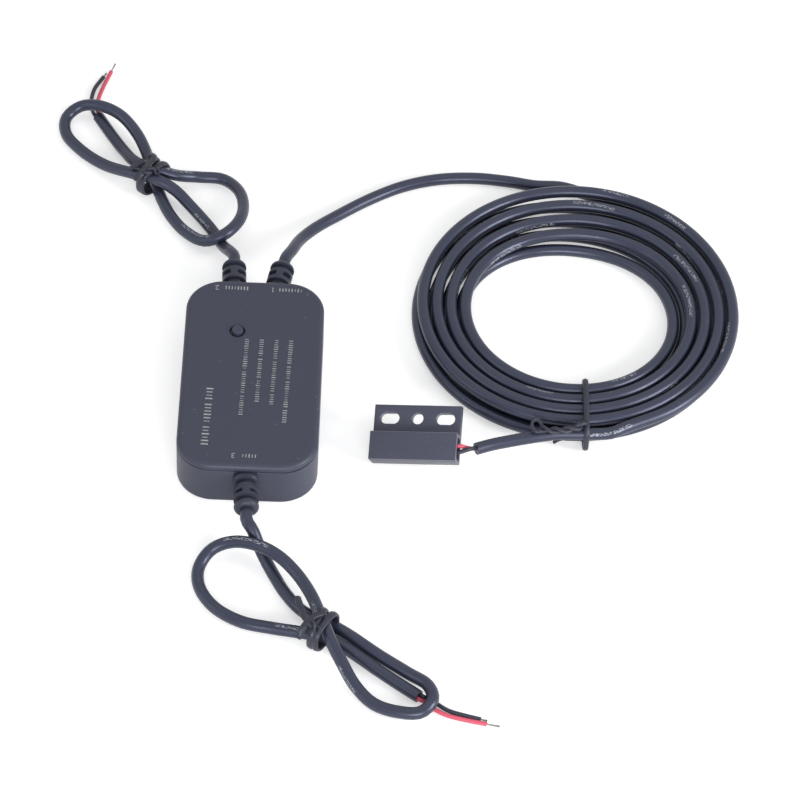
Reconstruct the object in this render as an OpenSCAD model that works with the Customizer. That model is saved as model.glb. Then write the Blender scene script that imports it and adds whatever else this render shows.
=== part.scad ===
// Garage door controller: a sealed box with a pairing button, three moulded cable
// entries, two tied supply leads and a coiled lead with a reed sensor at its end.
// Origin: bottom centre of the box, long side along Y, +Z up, millimetres.

/* [Box] */
// Width of the box across X
box_w = 45; // [44:0.5:50]
// Length of the box along Y
box_l = 80; // [78:0.5:90]
// Height of the box over the closed cover
box_h = 17; // [17:0.5:19]
// Radius of the four upright corners
corner_r = 12; // [11:0.5:13]
// Thickness of the side walls
wall_t = 2; // [1.6:0.1:2.2]
// Thickness of the floor
floor_t = 2; // [2:0.1:2.4]
// Height of the cover's visible rim
cover_h = 2.3; // [2.2:0.1:2.6]
// Rounding of the cover's top edge
cover_round = 1.6; // [1:0.1:1.8]
// Rounding of the bottom edge of the base
foot_round = 0.8; // [0.4:0.1:1.2]
// Thickness of the cover's flat plate
plate_t = 2; // [1.8:0.1:2.1]

/* [Button] */
// Diameter of the cap's guide, which fills the opening in the cover
button_d = 4.94; // [4.4:0.02:5.2]
// Depth of the open ring round the button, below the cover's face
button_ring_depth = 1; // [0.6:0.1:1.2]
// Diameter of the part that a finger presses
button_top_d = 3.5; // [3:0.1:3.8]
// How far it stands out of the cover's face
button_proud = 0.9; // [0.6:0.1:1.2]
// Travel of the button
button_travel = 0.5; // [0.3:0.05:0.6]

/* [Cable entries] */
// Diameter of a moulded strain relief
relief_d = 8; // [7:0.1:8.4]
// Length of a strain relief outside the wall
relief_l = 12.5; // [11:0.1:12.6]
// Height of the cable axis above the bottom
cable_z = 10.7; // [10.4:0.1:10.7]
// Place across X of the push button cable entry
gnd_x = -7.4; // [-8:0.1:-7]
// Place across X of the sensor cable entry
sensor_x = 6.1; // [6:0.1:7]

/* [Cords] */
// Outer diameter of a cord's jacket
cord_d = 4; // [3.6:0.1:4]
// Diameter of an insulated core wire
wire_d = 1.4; // [1:0.1:1.5]

/* [Coil] */
// Half width of the coil across X, to the centre of its outer turn
coil_rx = 53.4; // [52:0.2:54.4]
// Half width of the coil along Y, to the centre of its outer turn
coil_ry = 55.4; // [54:0.2:56.4]
// Distance between neighbouring turns where the tie holds them
turn_pitch = 4.4; // [4.4:0.05:4.55]
// Distance between the lower and the upper layer of turns
layer_step = 4.5; // [4.5:0.05:4.8]
// Whole turns in the coil, not counting the part turn between its ends
coil_turns = 8; // [4:2:8]

/* [Sensor] */
// Length of the sensor housing
sensor_l = 28.6; // [26:0.1:32]
// Depth of the sensor over its flange
sensor_depth = 19; // [18:0.1:21]
// Height of the sensor's raised body
sensor_h = 6.35; // [6:0.05:7]
// Depth of the raised body
sensor_body_depth = 9.3; // [8.5:0.1:10]
// Thickness of the flange
flange_t = 2.2; // [1.6:0.1:3]
// Width of the two slots and diameter of the round hole
fix_hole_d = 3.7; // [3:0.1:4.2]
// Distance from the middle hole to each slot's centre
slot_place = 9.15; // [8.5:0.05:9.5]
// Length of a slot over its round ends
slot_l = 6.2; // [5:0.1:6.4]

/* [Inside] */
// Width of the circuit board
board_w = 36; // [34:0.5:36]
// Thickness of the circuit board
board_t = 1.6; // [1:0.2:1.6]
// Height of the board's underside above the bottom
board_z = 5; // [4.6:0.1:5.2]

/* [Hidden] */
$fn = 48;

shell_black = "#3b3d45";
cord_black = "#33353c";
eps = 0.01;          // overrun of a cut
fit = 0.08;          // radial clearance of a running fit
seat = 0.3;          // clearance between parts that stand free of each other
lip_gap = 0.1;       // clearance of the cover's lip in the base

base_h = box_h - cover_h;
cover_under = box_h - plate_t;

// Fixing screws of the box
screw_inset = 6;     // from the outer wall across X
screw_inset_y = 8;   // from the outer wall along Y
boss_d = 5.4;
boss_h = 6.6;
screw_d = 1.9;
screw_hole_d = 2.3;
screw_head_d = 4.2;
screw_head_h = 1.3;
screw_l = 11;
pilot_play = 0.05;
drive_d = 1.6;
drive_w = 0.5;
drive_depth = 0.6;

// Fixing screws and posts of the board
board_gap = 1.3;      // from the box's screw bosses to the board's ends
post_d = 4.6;
post_inset = 4;
board_screw_d = 1.6;
board_head_d = 3;
board_head_h = 1.1;
board_hole_d = 1.9;
board_corner_r = 2;

// Pairing switch under the button
button_x = -5.3;
button_y = 17.5;
cap_flange_d = 7.2;
cap_flange_t = 1;
cap_stem_d = 3;
switch_w = 6;
switch_h = 3.6;
plunger_d = 3.4;
plunger_up = 1.4;
switch_floor = 0.4;
plunger_down = switch_h - switch_floor - button_travel - lip_gap;

// Strain relief details
neck_d = 7;
neck_play = 0.05;
inner_flange_d = 2 * (base_h - cable_z) - 2 * lip_gap;
flange_gap = 0.15;
inner_flange_t = 1.8;
groove_w = 1.9;
groove_depth = 1;
window_w = 1.5;
window_depth = 1.9;
relief_end_r = 0.9;
relief_nose_r = 1.5;
relief_collar_shares = [0.155, 0.46, 0.7];
dc_lean = 4;
gnd_lean = 3;
sensor_lean = 9.5;
relief_play = 0.3;

// Parts on the board
board_top = board_z + board_t;
wifi_size = [14, 20, 0.8];
wifi_place = [6, 8];
shield_size = [12.4, 13.6, 2.4];
shield_wall = 0.3;
shield_shift = -2.2;
relay_size = [9, 14, 5];
relay_place = [-9, -4];
core_gap = 0.5;        // between the inductor's core and its case
inductor_size = [6, 6, 3];
inductor_place = [9, -8];
inductor_core_d = 4.6;
capacitor_d = 6.3;
capacitor_gap = 1.4;
capacitor_h = cover_under - board_top - capacitor_gap;
capacitor_place = [9, -18];
pad_size = [2.2, 2.2, 0.5];
pad_step = 2.8;
pad_edge = 2;

// Sensor pose: its near left edge rests on the ground, its cord lifts the far right
sensor_place = [53.8, -24.2, 2.7];
sensor_tilt = [28.2, -10.8, -8.4];
hole_from_edge = 4.4;
sensor_wall = 1;
end_pocket = 1.2;
capsule_d = 2.2;
capsule_l = 14;
reed_lead_d = 0.6;
reed_lead_l = 3;
wire_gap = 2;
wire_start_share = 0.8; // of half the wire gap, at the jacket's end face

// Turns of the coil
coil_centre = [104, 43.6];
coil_first_angle = 80;
coil_span = 160;
loop_rings = 24;
coil_sides = 6;
spread_far = 2.2;
layer_shift = 1.6;   // the upper layer's lead over the lower one, along X
lift_near = 1.1;
climb_turns = 0.5;
cord_sides = 8;
wire_sides = 8;
cord_r = cord_d / 2;

// Cord of the power input, from its strain relief to the end of its jacket.
// The two loops of the bow cross over the straight strands at the tie.
dc_dir = [sin(dc_lean), -cos(dc_lean), 0];
dc_tip = [0, -box_l / 2, cable_z] + relief_l * dc_dir;
dc_route = [[3.1, -58.8, 9], [5, -61.8, 5.9], [6.7, -64.5, 3.7], [9.8, -70, 2.1], [14.1, -77.8, 2],
    [19.8, -85.2, 2.6], [26.3, -89.2, 3.2], [34, -93.9, 2.9], [44, -101.3, 2.4], [53, -107.8, 2.6],
    [59.2, -113.2, 3.9], [60.7, -119.3, 4.7], [57.3, -123.4, 3.8], [50.2, -122.8, 2.7],
    [42.7, -119.5, 2], [36.9, -113.5, 2.9], [32.5, -106.7, 5.6], [29.3, -100.8, 7.4],
    [26, -92.2, 7.8], [22.2, -82.2, 7.4], [17.2, -73.8, 7.4], [11.4, -68, 8.2], [4.5, -64.7, 9],
    [-3, -62.7, 7.6], [-9.5, -63.8, 4.8], [-13.2, -69.4, 2.6], [-12.7, -76.6, 2], [-7.7, -84.4, 2],
    [1, -89.8, 2], [10.4, -91.8, 2], [19, -93.5, 2.6], [26.5, -95.3, 3.2], [34, -99.4, 2.6],
    [43.4, -106.4, 2], [51, -112.2, 2], [56.6, -116.2, 2]];
dc_red_route = [[58.1, -117.5, 1.5], [61.2, -120, 1.1], [65.3, -122, 0.8], [70.8, -123.5, 0.8],
    [77.4, -124.8, 0.8]];
dc_black_route = [[59.8, -115.9, 1.4], [62.2, -118, 1], [65.8, -120.3, 0.8], [70.8, -121.9, 0.8],
    [75.6, -123.1, 0.8]];
dc_tie_place = [26, -92.9, -28];

// Cord of the push button, from its strain relief to the end of its jacket
gnd_dir = [-sin(gnd_lean), cos(gnd_lean), 0];
gnd_tip = [gnd_x, box_l / 2, cable_z] + relief_l * gnd_dir;
gnd_route = [[-9.7, 59.4, 9.6], [-11, 62.7, 7.2], [-12, 65.8, 4.9], [-13.2, 69.4, 2.8],
    [-16.9, 76.4, 2], [-24.6, 86.3, 2.8], [-30.4, 90.8, 5.8], [-37.4, 93.7, 7.8],
    [-45.4, 97.2, 6.4], [-54.6, 103.5, 3.2], [-63, 111, 2], [-68.8, 118.6, 2], [-69.4, 126.1, 2.4],
    [-65, 129.8, 4.4], [-58.2, 128.6, 6.5], [-50.8, 124.8, 6.3], [-44.6, 117.6, 4.8],
    [-40.6, 109.2, 3.4], [-38.2, 100.6, 3.2], [-35.5, 92, 2.8], [-30.9, 82, 2], [-24.9, 73.9, 2.4],
    [-18.4, 68.7, 4.4], [-12.4, 69.2, 7.2], [-8, 75.4, 6.8], [-6.5, 84.2, 5], [-8.5, 93.4, 3.5],
    [-14.2, 99.4, 2.6], [-22.4, 99.2, 3.4], [-30, 97.2, 6], [-37.6, 98.3, 7.8], [-43.9, 103, 5.6],
    [-48.4, 110.8, 2.8], [-53.4, 119.2, 2], [-58.4, 127.7, 2]];
gnd_red_route = [[-58.8, 130.2, 1.6], [-59.4, 133.8, 1.1], [-59.2, 137.4, 0.8], [-58.1, 142.8, 0.8],
    [-55.7, 151.2, 0.8]];
gnd_black_route = [[-60.4, 129.8, 1.7], [-61.3, 133.4, 1.2], [-61.6, 137.2, 0.8],
    [-60.9, 142.4, 0.8], [-58.2, 148.4, 0.8]];
gnd_tie_place = [-37.9, 97.2, -36];

// Lead from the box to the coil, and tail from the coil to the sensor
sensor_dir = [sin(sensor_lean), cos(sensor_lean), 0];
sensor_tip = [sensor_x, box_l / 2, cable_z] + relief_l * sensor_dir;
lead_route = [[10.7, 61.2, 9.3], [13.2, 68.7, 6.6], [18.2, 76.6, 4.4], [26, 84.7, 2.8],
    [36, 93, 2.1], [47, 99.6, 2], [59, 103.6, 2], [72, 104.8, 2], [83.4, 103.8, 2], [92, 102.3, 2]];
tail_route = [[99, -13.4, 7.6], [92.4, -14.8, 7.6], [85.5, -16.8, 7.8], [78, -19.4, 8.2],
    [72.8, -21.8, 8.6]];
strand_l = 4;
strand_d = 0.5;

// Twist ties
tie_w = 2.4;
tie_t = 0.8;
tie_ring_w = 11.2;
tie_ring_h = 10.8;
tie_corner_r = 2.6;
tie_tail_l = 9;
tie_tail_w = 3;
knot_d = 3.2;
knot_l = 4;
coil_tie_angle = -86;
coil_tie_round = 2.4;
coil_tie_slack = 0.5;
coil_tie_tail_l = 17;
coil_tie_tail_d = 2.6;
coil_tie_turn = 194;

// Functions for routes and tubes
function unit(v) = v / norm(v);
function ring_dir(p, i) =
    i == 0 ? unit(p[1] - p[0]) :
    i == len(p) - 1 ? unit(p[i] - p[i - 1]) : unit(p[i + 1] - p[i - 1]);
function ring(c, dir, r, n) = let (side = unit(cross([0, 0, 1], dir)), up = cross(dir, side))
    [for (k = [0:n - 1]) c + r * (cos(360 * (k + 0.5) / n) * side + sin(360 * (k + 0.5) / n) * up)];
function tube_points(p, r, n) = [for (i = [0:len(p) - 1]) each ring(p[i], ring_dir(p, i), r, n)];
function wall_faces(rings, n) = [for (i = [0:rings - 2], k = [0:n - 1])
    let (a = i * n + k, b = i * n + (k + 1) % n) each [[a, b + n, b], [a, a + n, b + n]]];
function cap_faces(rings, n) = [for (k = [1:n - 2])
    each [[0, k, k + 1], [(rings - 1) * n, (rings - 1) * n + k + 1, (rings - 1) * n + k]]];
function route_length(p) = len(p) < 2 ? 0 : sum_steps(p, len(p) - 1);
function sum_steps(p, i) = i == 0 ? 0 : norm(p[i] - p[i - 1]) + sum_steps(p, i - 1);

// Functions for the coil
coil_end_turn = coil_turns + coil_span / 360;
function smooth(x) = let (s = min(1, max(0, x))) s * s * (3 - 2 * s);
function coil_angle(t) = coil_first_angle - 360 * t;
function far_share(a) = pow((1 + sin(a)) / 2, 3);
function near_share(a) = pow((1 - sin(a)) / 2, 3);
function coil_in(t) = min(t, coil_end_turn - t);
function coil_drop(t) = let (a = coil_angle(t)) coil_in(t) * (turn_pitch + spread_far * far_share(a));
function coil_climb(t) = smooth((t - coil_end_turn / 2 + climb_turns / 2) / climb_turns);
function coil_z(t) = cord_r + lift_near * near_share(coil_angle(t)) + layer_step * coil_climb(t);
function coil_point(t) = let (a = coil_angle(t), d = coil_drop(t))
    [coil_centre.x + layer_shift * (pow(coil_climb(t), 2) - 1 / 2) + (coil_rx - d) * cos(a),
        coil_centre.y + (coil_ry - d) * sin(a), coil_z(t)];
coil_step = 1 / loop_rings;
coil_body = [for (t = [0:coil_step:coil_end_turn]) coil_point(t)];
coil_last = len(coil_body) - 1;
coil_start = coil_body[0] - cord_d * unit(coil_body[1] - coil_body[0]);
coil_end = coil_body[coil_last] + cord_d * unit(coil_body[coil_last] - coil_body[coil_last - 1]);
coil_path = concat([coil_start], coil_body, [coil_end]);
coil_gaps = [for (i = [0:coil_last], j = [i + loop_rings / 2:coil_last])
    norm(coil_body[i] - coil_body[j]) - cord_d];

lead_path = concat([sensor_tip, sensor_tip + cord_d * sensor_dir], lead_route,
    [coil_start - 2 * cord_d * unit(coil_body[0] - coil_start), coil_start]);
tail_path = concat([coil_end, 2 * coil_end - coil_body[coil_last]], tail_route);
dc_path = concat([dc_tip, dc_tip + cord_d * dc_dir], dc_route);
gnd_path = concat([gnd_tip, gnd_tip + cord_d * gnd_dir], gnd_route);
dc_end = dc_path[len(dc_path) - 1];
gnd_end = gnd_path[len(gnd_path) - 1];
tail_end = tail_path[len(tail_path) - 1];

echo(least_gap_in_coil_mm = min(coil_gaps));
echo(cord_lengths_mm = [route_length(dc_path), route_length(gnd_path),
    route_length(lead_path) + route_length(coil_path) + route_length(tail_path)]);

// Shapes used by several pieces
module tube(p, d, n) {
    polyhedron(concat(tube_points(p, d / 2, n)), concat(wall_faces(len(p), n), cap_faces(len(p), n)));
}

module rounded_plate(w, l, r, h) {
    linear_extrude(h) union() {
        square([w - 2 * r, l], center = true);
        square([w, l - 2 * r], center = true);
        for (sx = [-1, 1], sy = [-1, 1]) translate([sx * (w / 2 - r), sy * (l / 2 - r)]) circle(r);
    }
}

module at_corners(x, y) {
    for (sx = [-1, 1], sy = [-1, 1]) translate([sx * x, sy * y, 0]) children();
}

screw_foot = screw_head_h + seat;
screw_tip = screw_foot + screw_l;
screw_x = box_w / 2 - screw_inset;
screw_y = box_l / 2 - screw_inset_y;
board_l = 2 * (screw_y - boss_d / 2 - board_gap);
post_x = board_w / 2 - post_inset;
post_y = board_l / 2 - post_inset;

// Round disc with a rounded top edge, one corner of the cover
module cover_corner() {
    rotate_extrude() {
        square([corner_r - cover_round, cover_h]);
        square([corner_r, cover_h - cover_round]);
        translate([corner_r - cover_round, cover_h - cover_round]) intersection() {
            circle(cover_round, $fn = 32);
            square(cover_round);
        }
    }
}

module base_corner() {
    rotate_extrude() {
        translate([0, foot_round]) square([corner_r, base_h - foot_round]);
        square([corner_r - foot_round, base_h]);
        translate([corner_r - foot_round, foot_round]) circle(foot_round, $fn = 24);
    }
}

// Opening in an end wall for the neck of a strain relief
module entry_notch(x, side) {
    translate([x, side * (box_l / 2 - wall_t / 2), cable_z]) {
        rotate([90, 0, 0]) cylinder(h = wall_t + 2 * flange_gap, d = neck_d + 2 * neck_play, center = true);
        translate([-neck_d / 2 - neck_play, -wall_t / 2 - flange_gap, 0])
            cube([neck_d + 2 * neck_play, wall_t + 2 * flange_gap, base_h]);
    }
}

module base_shell() {
    color(shell_black) difference() {
        union() {
            difference() {
                hull() at_corners(box_w / 2 - corner_r, box_l / 2 - corner_r) base_corner();
                translate([0, 0, floor_t])
                    rounded_plate(box_w - 2 * wall_t, box_l - 2 * wall_t, corner_r - wall_t, base_h);
                entry_notch(0, -1);
                entry_notch(gnd_x, 1);
                entry_notch(sensor_x, 1);
            }
            translate([0, 0, floor_t - eps]) {
                at_corners(screw_x, screw_y) cylinder(h = boss_h + eps, d = boss_d);
                at_corners(post_x, post_y) cylinder(h = board_z - floor_t + eps, d = post_d);
            }
        }
        translate([0, 0, -eps]) at_corners(screw_x, screw_y) {
            cylinder(h = floor_t + boss_h + 2 * eps, d = screw_hole_d);
            cylinder(h = screw_foot + eps, d = screw_head_d + 2 * pilot_play);
        }
        translate([0, 0, floor_t]) at_corners(post_x, post_y)
            cylinder(h = board_z, d = board_screw_d + 2 * pilot_play);
    }
}

module top_cover() {
    lip_w = box_w - 2 * wall_t - 2 * lip_gap;
    lip_l = box_l - 2 * wall_t - 2 * lip_gap;
    lip_r = corner_r - wall_t - lip_gap;
    lip_t = 1.2;
    lip_h = 1.2;
    post_foot = floor_t + boss_h + lip_gap;
    color(shell_black) difference() {
        union() {
            difference() {
                translate([0, 0, base_h])
                    hull() at_corners(box_w / 2 - corner_r, box_l / 2 - corner_r) cover_corner();
                translate([0, 0, base_h - eps]) rounded_plate(lip_w, lip_l, lip_r,
                    cover_h - plate_t + eps);
            }
            difference() {
                translate([0, 0, base_h - lip_h]) rounded_plate(lip_w, lip_l, lip_r,
                    cover_under - base_h + lip_h + eps);
                translate([0, 0, base_h - lip_h - eps]) rounded_plate(lip_w - 2 * lip_t,
                    lip_l - 2 * lip_t, lip_r - lip_t, cover_under - base_h + lip_h + 3 * eps);
                for (place = [[0, -1], [gnd_x, 1], [sensor_x, 1]])
                    translate([place.x - inner_flange_d / 2 - relief_play,
                        place.y * box_l / 2 - inner_flange_d / 2, base_h - lip_h - eps])
                        cube([inner_flange_d + 2 * relief_play, inner_flange_d, lip_h + eps]);
            }
            at_corners(screw_x, screw_y) translate([0, 0, post_foot])
                cylinder(h = cover_under - post_foot + eps, d = boss_d);
        }
        translate([button_x, button_y, base_h - eps])
            cylinder(h = cover_h + 2 * eps, d = button_d + 2 * fit);
        at_corners(screw_x, screw_y) translate([0, 0, post_foot - eps])
            cylinder(h = screw_tip + seat - post_foot, d = screw_d + 2 * pilot_play);
    }
}

module circuit_board() {
    color("#1f6b45") difference() {
        translate([0, 0, board_z]) rounded_plate(board_w, board_l, board_corner_r, board_t);
        translate([0, 0, board_z - eps]) at_corners(post_x, post_y)
            cylinder(h = board_t + 2 * eps, d = board_hole_d);
    }
}

module on_board(place, size) {
    translate([place.x - size.x / 2, place.y - size.y / 2, board_top]) cube(size);
}

module wifi_board() { color("#22334d") on_board(wifi_place, wifi_size); }

module wifi_shield() {
    color("silver") translate([wifi_place.x, wifi_place.y + shield_shift, wifi_size.z]) difference() {
        on_board([0, 0], shield_size);
        translate([0, 0, -eps]) on_board([0, 0],
            shield_size - [2 * shield_wall, 2 * shield_wall, shield_wall]);
    }
}

module relay() {
    color("#e6e2d8") on_board(relay_place, relay_size);
}

module inductor() {
    color("#3a3a3a") difference() {
        on_board(inductor_place, inductor_size);
        translate([inductor_place.x, inductor_place.y, board_top + inductor_size.z - core_gap])
            cylinder(h = inductor_size.z, d = inductor_core_d);
    }
    color("#3a3a3a") translate([inductor_place.x, inductor_place.y, board_top])
        cylinder(h = inductor_size.z, d = inductor_core_d - 2 * core_gap);
}

module capacitor() {
    color("#b9bcc2") translate([capacitor_place.x, capacitor_place.y, board_top])
        cylinder(h = capacitor_h, d = capacitor_d);
}

// Solder pads where the core wires meet the board, two for each cord
module terminal_pads() {
    pad_y = board_l / 2 - pad_edge;
    color("#c9b26a") for (place = [[0, -1], [gnd_x, 1], [sensor_x, 1]], side = [-1, 1])
        on_board([place.x + side * pad_step / 2, place.y * pad_y], pad_size);
}

module switch_body() {
    color("#2b2b2b") difference() {
        on_board([button_x, button_y], [switch_w, switch_w, switch_h]);
        translate([button_x, button_y, board_top + switch_floor])
            cylinder(h = switch_h, d = plunger_d + 2 * fit);
    }
}

plunger_top = board_top + switch_h + plunger_up;
module switch_plunger() {
    color("#8a6b3f") translate([button_x, button_y, plunger_top - plunger_up - plunger_down])
        cylinder(h = plunger_up + plunger_down, d = plunger_d);
}

module button_cap() {
    flange_top = cover_under - seat;
    shoulder = box_h - button_ring_depth;
    color(cord_black) translate([button_x, button_y, 0]) {
        translate([0, 0, plunger_top]) cylinder(h = flange_top - plunger_top, d = cap_stem_d);
        translate([0, 0, flange_top - cap_flange_t]) cylinder(h = cap_flange_t, d = cap_flange_d);
        translate([0, 0, flange_top - eps]) cylinder(h = shoulder - flange_top + eps, d = button_d);
        translate([0, 0, shoulder - eps])
            cylinder(h = button_ring_depth + button_proud + eps, d = button_top_d);
    }
}

module screw(d, l, head_d, head_h) {
    difference() {
        union() {
            cylinder(h = l, d = d);
            mirror([0, 0, 1]) cylinder(h = head_h, d = head_d);
        }
        for (turn = [0, 90]) rotate(turn)
            translate([-drive_d / 2, -drive_w / 2, -head_h - eps]) cube([drive_d, drive_w, drive_depth]);
    }
}

module housing_screws() {
    color("silver") at_corners(screw_x, screw_y) translate([0, 0, screw_foot])
        screw(screw_d, screw_l, screw_head_d, screw_head_h);
}

module board_screws() {
    color("silver") at_corners(post_x, post_y) translate([0, 0, board_top]) mirror([0, 0, 1])
        screw(board_screw_d, board_t + board_z - floor_t - seat, board_head_d, board_head_h);
}

// Strain relief along +Y from the wall's outer face: neck through the wall, inner
// flange, and a ribbed body with two full grooves and a pair of side windows.
module relief(lean) {
    color(cord_black) {
        rotate([90, 0, 0]) {
            cylinder(h = wall_t + flange_gap, d = neck_d);
            translate([0, 0, wall_t + flange_gap]) cylinder(h = inner_flange_t, d = inner_flange_d);
        }
        rotate(-lean) difference() {
            rotate([-90, 0, 0]) union() {
                translate([0, 0, relief_end_r])
                    cylinder(h = relief_l - relief_end_r - relief_nose_r, d = relief_d);
                cylinder(h = relief_l, d = relief_d - 2 * relief_nose_r);
                translate([0, 0, relief_l - relief_nose_r]) rotate_extrude()
                    translate([relief_d / 2 - relief_nose_r, 0]) circle(relief_nose_r, $fn = 24);
            }
            rotate([-90, 0, 0]) {
                for (i = [0, 2]) translate([0, 0, relief_l * relief_collar_shares[i]])
                    difference() {
                        cylinder(h = groove_w, d = relief_d + 2 * eps);
                        translate([0, 0, -eps])
                            cylinder(h = groove_w + 2 * eps, d = relief_d - 2 * groove_depth);
                    }
                for (turn = [0:90:270]) rotate(turn + 45)
                    translate([relief_d / 2 - window_depth / 2, -window_w,
                        relief_l * relief_collar_shares[1]])
                        cube([window_depth, 2 * window_w, window_w]);
            }
        }
    }
}

module dc_relief() { translate([0, -box_l / 2, cable_z]) rotate(180) relief(-dc_lean); }
module gnd_relief() { translate([gnd_x, box_l / 2, cable_z]) relief(-gnd_lean); }
module sensor_relief() { translate([sensor_x, box_l / 2, cable_z]) relief(sensor_lean); }

// Core wires from an entry to its pads
module inner_wires(x, side) {
    from_y = box_l / 2 - wall_t - flange_gap - inner_flange_t;
    pad_y = board_l / 2 - pad_edge;
    pad_top = board_top + pad_size.z + wire_d / 2;
    for (hand = [-1, 1]) tube([[x + hand * wire_gap / 2, side * from_y, cable_z],
        [x + hand * wire_gap / 2, side * (from_y - wire_d), cable_z],
        [x + hand * pad_step / 2, side * (pad_y + wire_d), pad_top + wire_d / 4],
        [x + hand * pad_step / 2, side * (pad_y - wire_d / 2), pad_top]], wire_d, wire_sides);
}

module dc_inner_wires() { color("#b3262c") inner_wires(0, -1); }
module gnd_inner_wires() { color("#b3262c") inner_wires(gnd_x, 1); }
module sensor_inner_wires() { color("#b3262c") inner_wires(sensor_x, 1); }

// A core wire starts inside the end face of the jacket, beside its axis
function wire_start(path, hand) = let (n = len(path), dir = unit(path[n - 1] - path[n - 2]))
    path[n - 1] + hand * wire_start_share * wire_gap / 2 * unit(cross([0, 0, 1], dir));
function wire_path(path, hand, route) = let (s = wire_start(path, hand),
    dir = unit(path[len(path) - 1] - path[len(path) - 2])) concat([s, s + wire_d * dir], route);

dc_red_path = wire_path(dc_path, -1, dc_red_route);
dc_black_path = wire_path(dc_path, 1, dc_black_route);
gnd_red_path = wire_path(gnd_path, -1, gnd_red_route);
gnd_black_path = wire_path(gnd_path, 1, gnd_black_route);

module dc_cord() { color(cord_black) tube(dc_path, cord_d, cord_sides); }
module dc_red_wire() { color("#c8303f") tube(dc_red_path, wire_d, wire_sides); }
module dc_black_wire() { color(cord_black) tube(dc_black_path, wire_d, wire_sides); }
module gnd_cord() { color(cord_black) tube(gnd_path, cord_d, cord_sides); }
module gnd_red_wire() { color("#c8303f") tube(gnd_red_path, wire_d, wire_sides); }
module gnd_black_wire() { color(cord_black) tube(gnd_black_path, wire_d, wire_sides); }

// Tinned strands that stand out of a wire's end
module bare_strands(path, l) {
    n = len(path);
    dir = unit(path[n - 1] - path[n - 2]);
    color("#c9c9cc") tube([path[n - 1], path[n - 1] + l * dir], strand_d, wire_sides);
}

module dc_bare_strands() {
    bare_strands(dc_red_path, strand_l);
    bare_strands(dc_black_path, strand_l / 2);
}

module gnd_bare_strands() {
    bare_strands(gnd_red_path, strand_l);
    bare_strands(gnd_black_path, strand_l / 2);
}

module sensor_lead() { color(cord_black) tube(lead_path, cord_d, cord_sides); }
module sensor_coil() { color(cord_black) tube(coil_path, cord_d, coil_sides); }
module sensor_tail() { color(cord_black) tube(tail_path, cord_d, cord_sides); }

// Flat ring that goes round a bundle whose strands run along X
module tie_ring(w, h, r) {
    rotate([90, 0, 90]) translate([0, h / 2, -tie_w / 2]) difference() {
        rounded_plate(w + 2 * tie_t, h, r, tie_w);
        translate([0, 0, -eps]) rounded_plate(w, h - 2 * tie_t, r - tie_t, tie_w + 2 * eps);
    }
}

// Twist tie of a bow: ring, knot on top and two cut ends
module bow_tie(place) {
    color(cord_black) translate([place.x, place.y, 0]) rotate(place.z) {
        tie_ring(tie_ring_w, tie_ring_h, tie_corner_r);
        translate([0, 0, tie_ring_h - tie_t / 2]) {
            translate([0, 0, knot_d / 2]) rotate([90, 0, 0]) cylinder(h = knot_l, d = knot_d, center = true);
            for (turn = [-40, 150]) rotate(turn)
                translate([0, -tie_tail_w / 2, tie_t]) cube([tie_tail_l, tie_tail_w, tie_t]);
        }
    }
}

module dc_tie() { bow_tie(dc_tie_place); }
module gnd_tie() { bow_tie(gnd_tie_place); }

coil_tie_in = (floor(coil_end_turn / 2)) * turn_pitch + cord_r + coil_tie_slack;
coil_tie_out = cord_r + coil_tie_slack + turn_pitch / 2;
coil_tie_h = lift_near + layer_step + cord_d + tie_t + coil_tie_slack;
module coil_tie() {
    color(cord_black) translate([coil_centre.x, coil_centre.y, 0]) rotate(coil_tie_angle)
        translate([coil_ry - (coil_tie_in - coil_tie_out) / 2, 0, 0]) rotate(90) {
            tie_ring(coil_tie_in + coil_tie_out, coil_tie_h, coil_tie_round);
            translate([0, -(coil_tie_in + coil_tie_out) / 2 + knot_l,
                coil_tie_h + (coil_tie_tail_d - tie_t) / 2]) rotate(coil_tie_turn - 90)
                rotate([90, 0, 0]) cylinder(h = coil_tie_tail_l, d = coil_tie_tail_d);
        }
}

module in_sensor() { translate(sensor_place) rotate(sensor_tilt) children(); }

pocket_w = sensor_body_depth - 2 * sensor_wall;
pocket_h = sensor_h - 2 * sensor_wall;
hole_y = sensor_depth - hole_from_edge;
reed_centre = [-sensor_l / 2 + sensor_wall + reed_lead_l + capsule_l / 2 + seat,
    sensor_body_depth / 2, sensor_h / 2];

module sensor_housing() {
    slot_run = slot_l - fix_hole_d;
    color(shell_black) in_sensor() difference() {
        union() {
            translate([-sensor_l / 2, 0, 0]) cube([sensor_l, sensor_depth, flange_t]);
            translate([-sensor_l / 2, 0, 0]) cube([sensor_l, sensor_body_depth, sensor_h]);
        }
        translate([0, hole_y, -eps]) {
            cylinder(h = flange_t + 2 * eps, d = fix_hole_d);
            for (side = [-1, 1]) translate([side * slot_place, 0, 0]) {
                for (end = [-1, 1]) translate([end * slot_run / 2, 0, 0])
                    cylinder(h = flange_t + 2 * eps, d = fix_hole_d);
                translate([-slot_run / 2, -fix_hole_d / 2, 0])
                    cube([slot_run, fix_hole_d, flange_t + 2 * eps]);
            }
        }
        translate([-sensor_l / 2 + sensor_wall, sensor_wall, sensor_wall])
            cube([sensor_l, pocket_w, pocket_h]);
    }
}

// Resin that fills the pocket and holds the reed switch, sunk a little at its mouth
module sensor_potting() {
    color("#2a2c33") in_sensor() difference() {
        translate([-sensor_l / 2 + sensor_wall, sensor_wall, sensor_wall])
            cube([sensor_l - sensor_wall - end_pocket, pocket_w, pocket_h]);
        translate(reed_centre) rotate([0, 90, 0]) {
            cylinder(h = capsule_l, d = capsule_d, center = true);
            cylinder(h = capsule_l + 2 * reed_lead_l, d = reed_lead_d, center = true);
        }
    }
}

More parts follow.
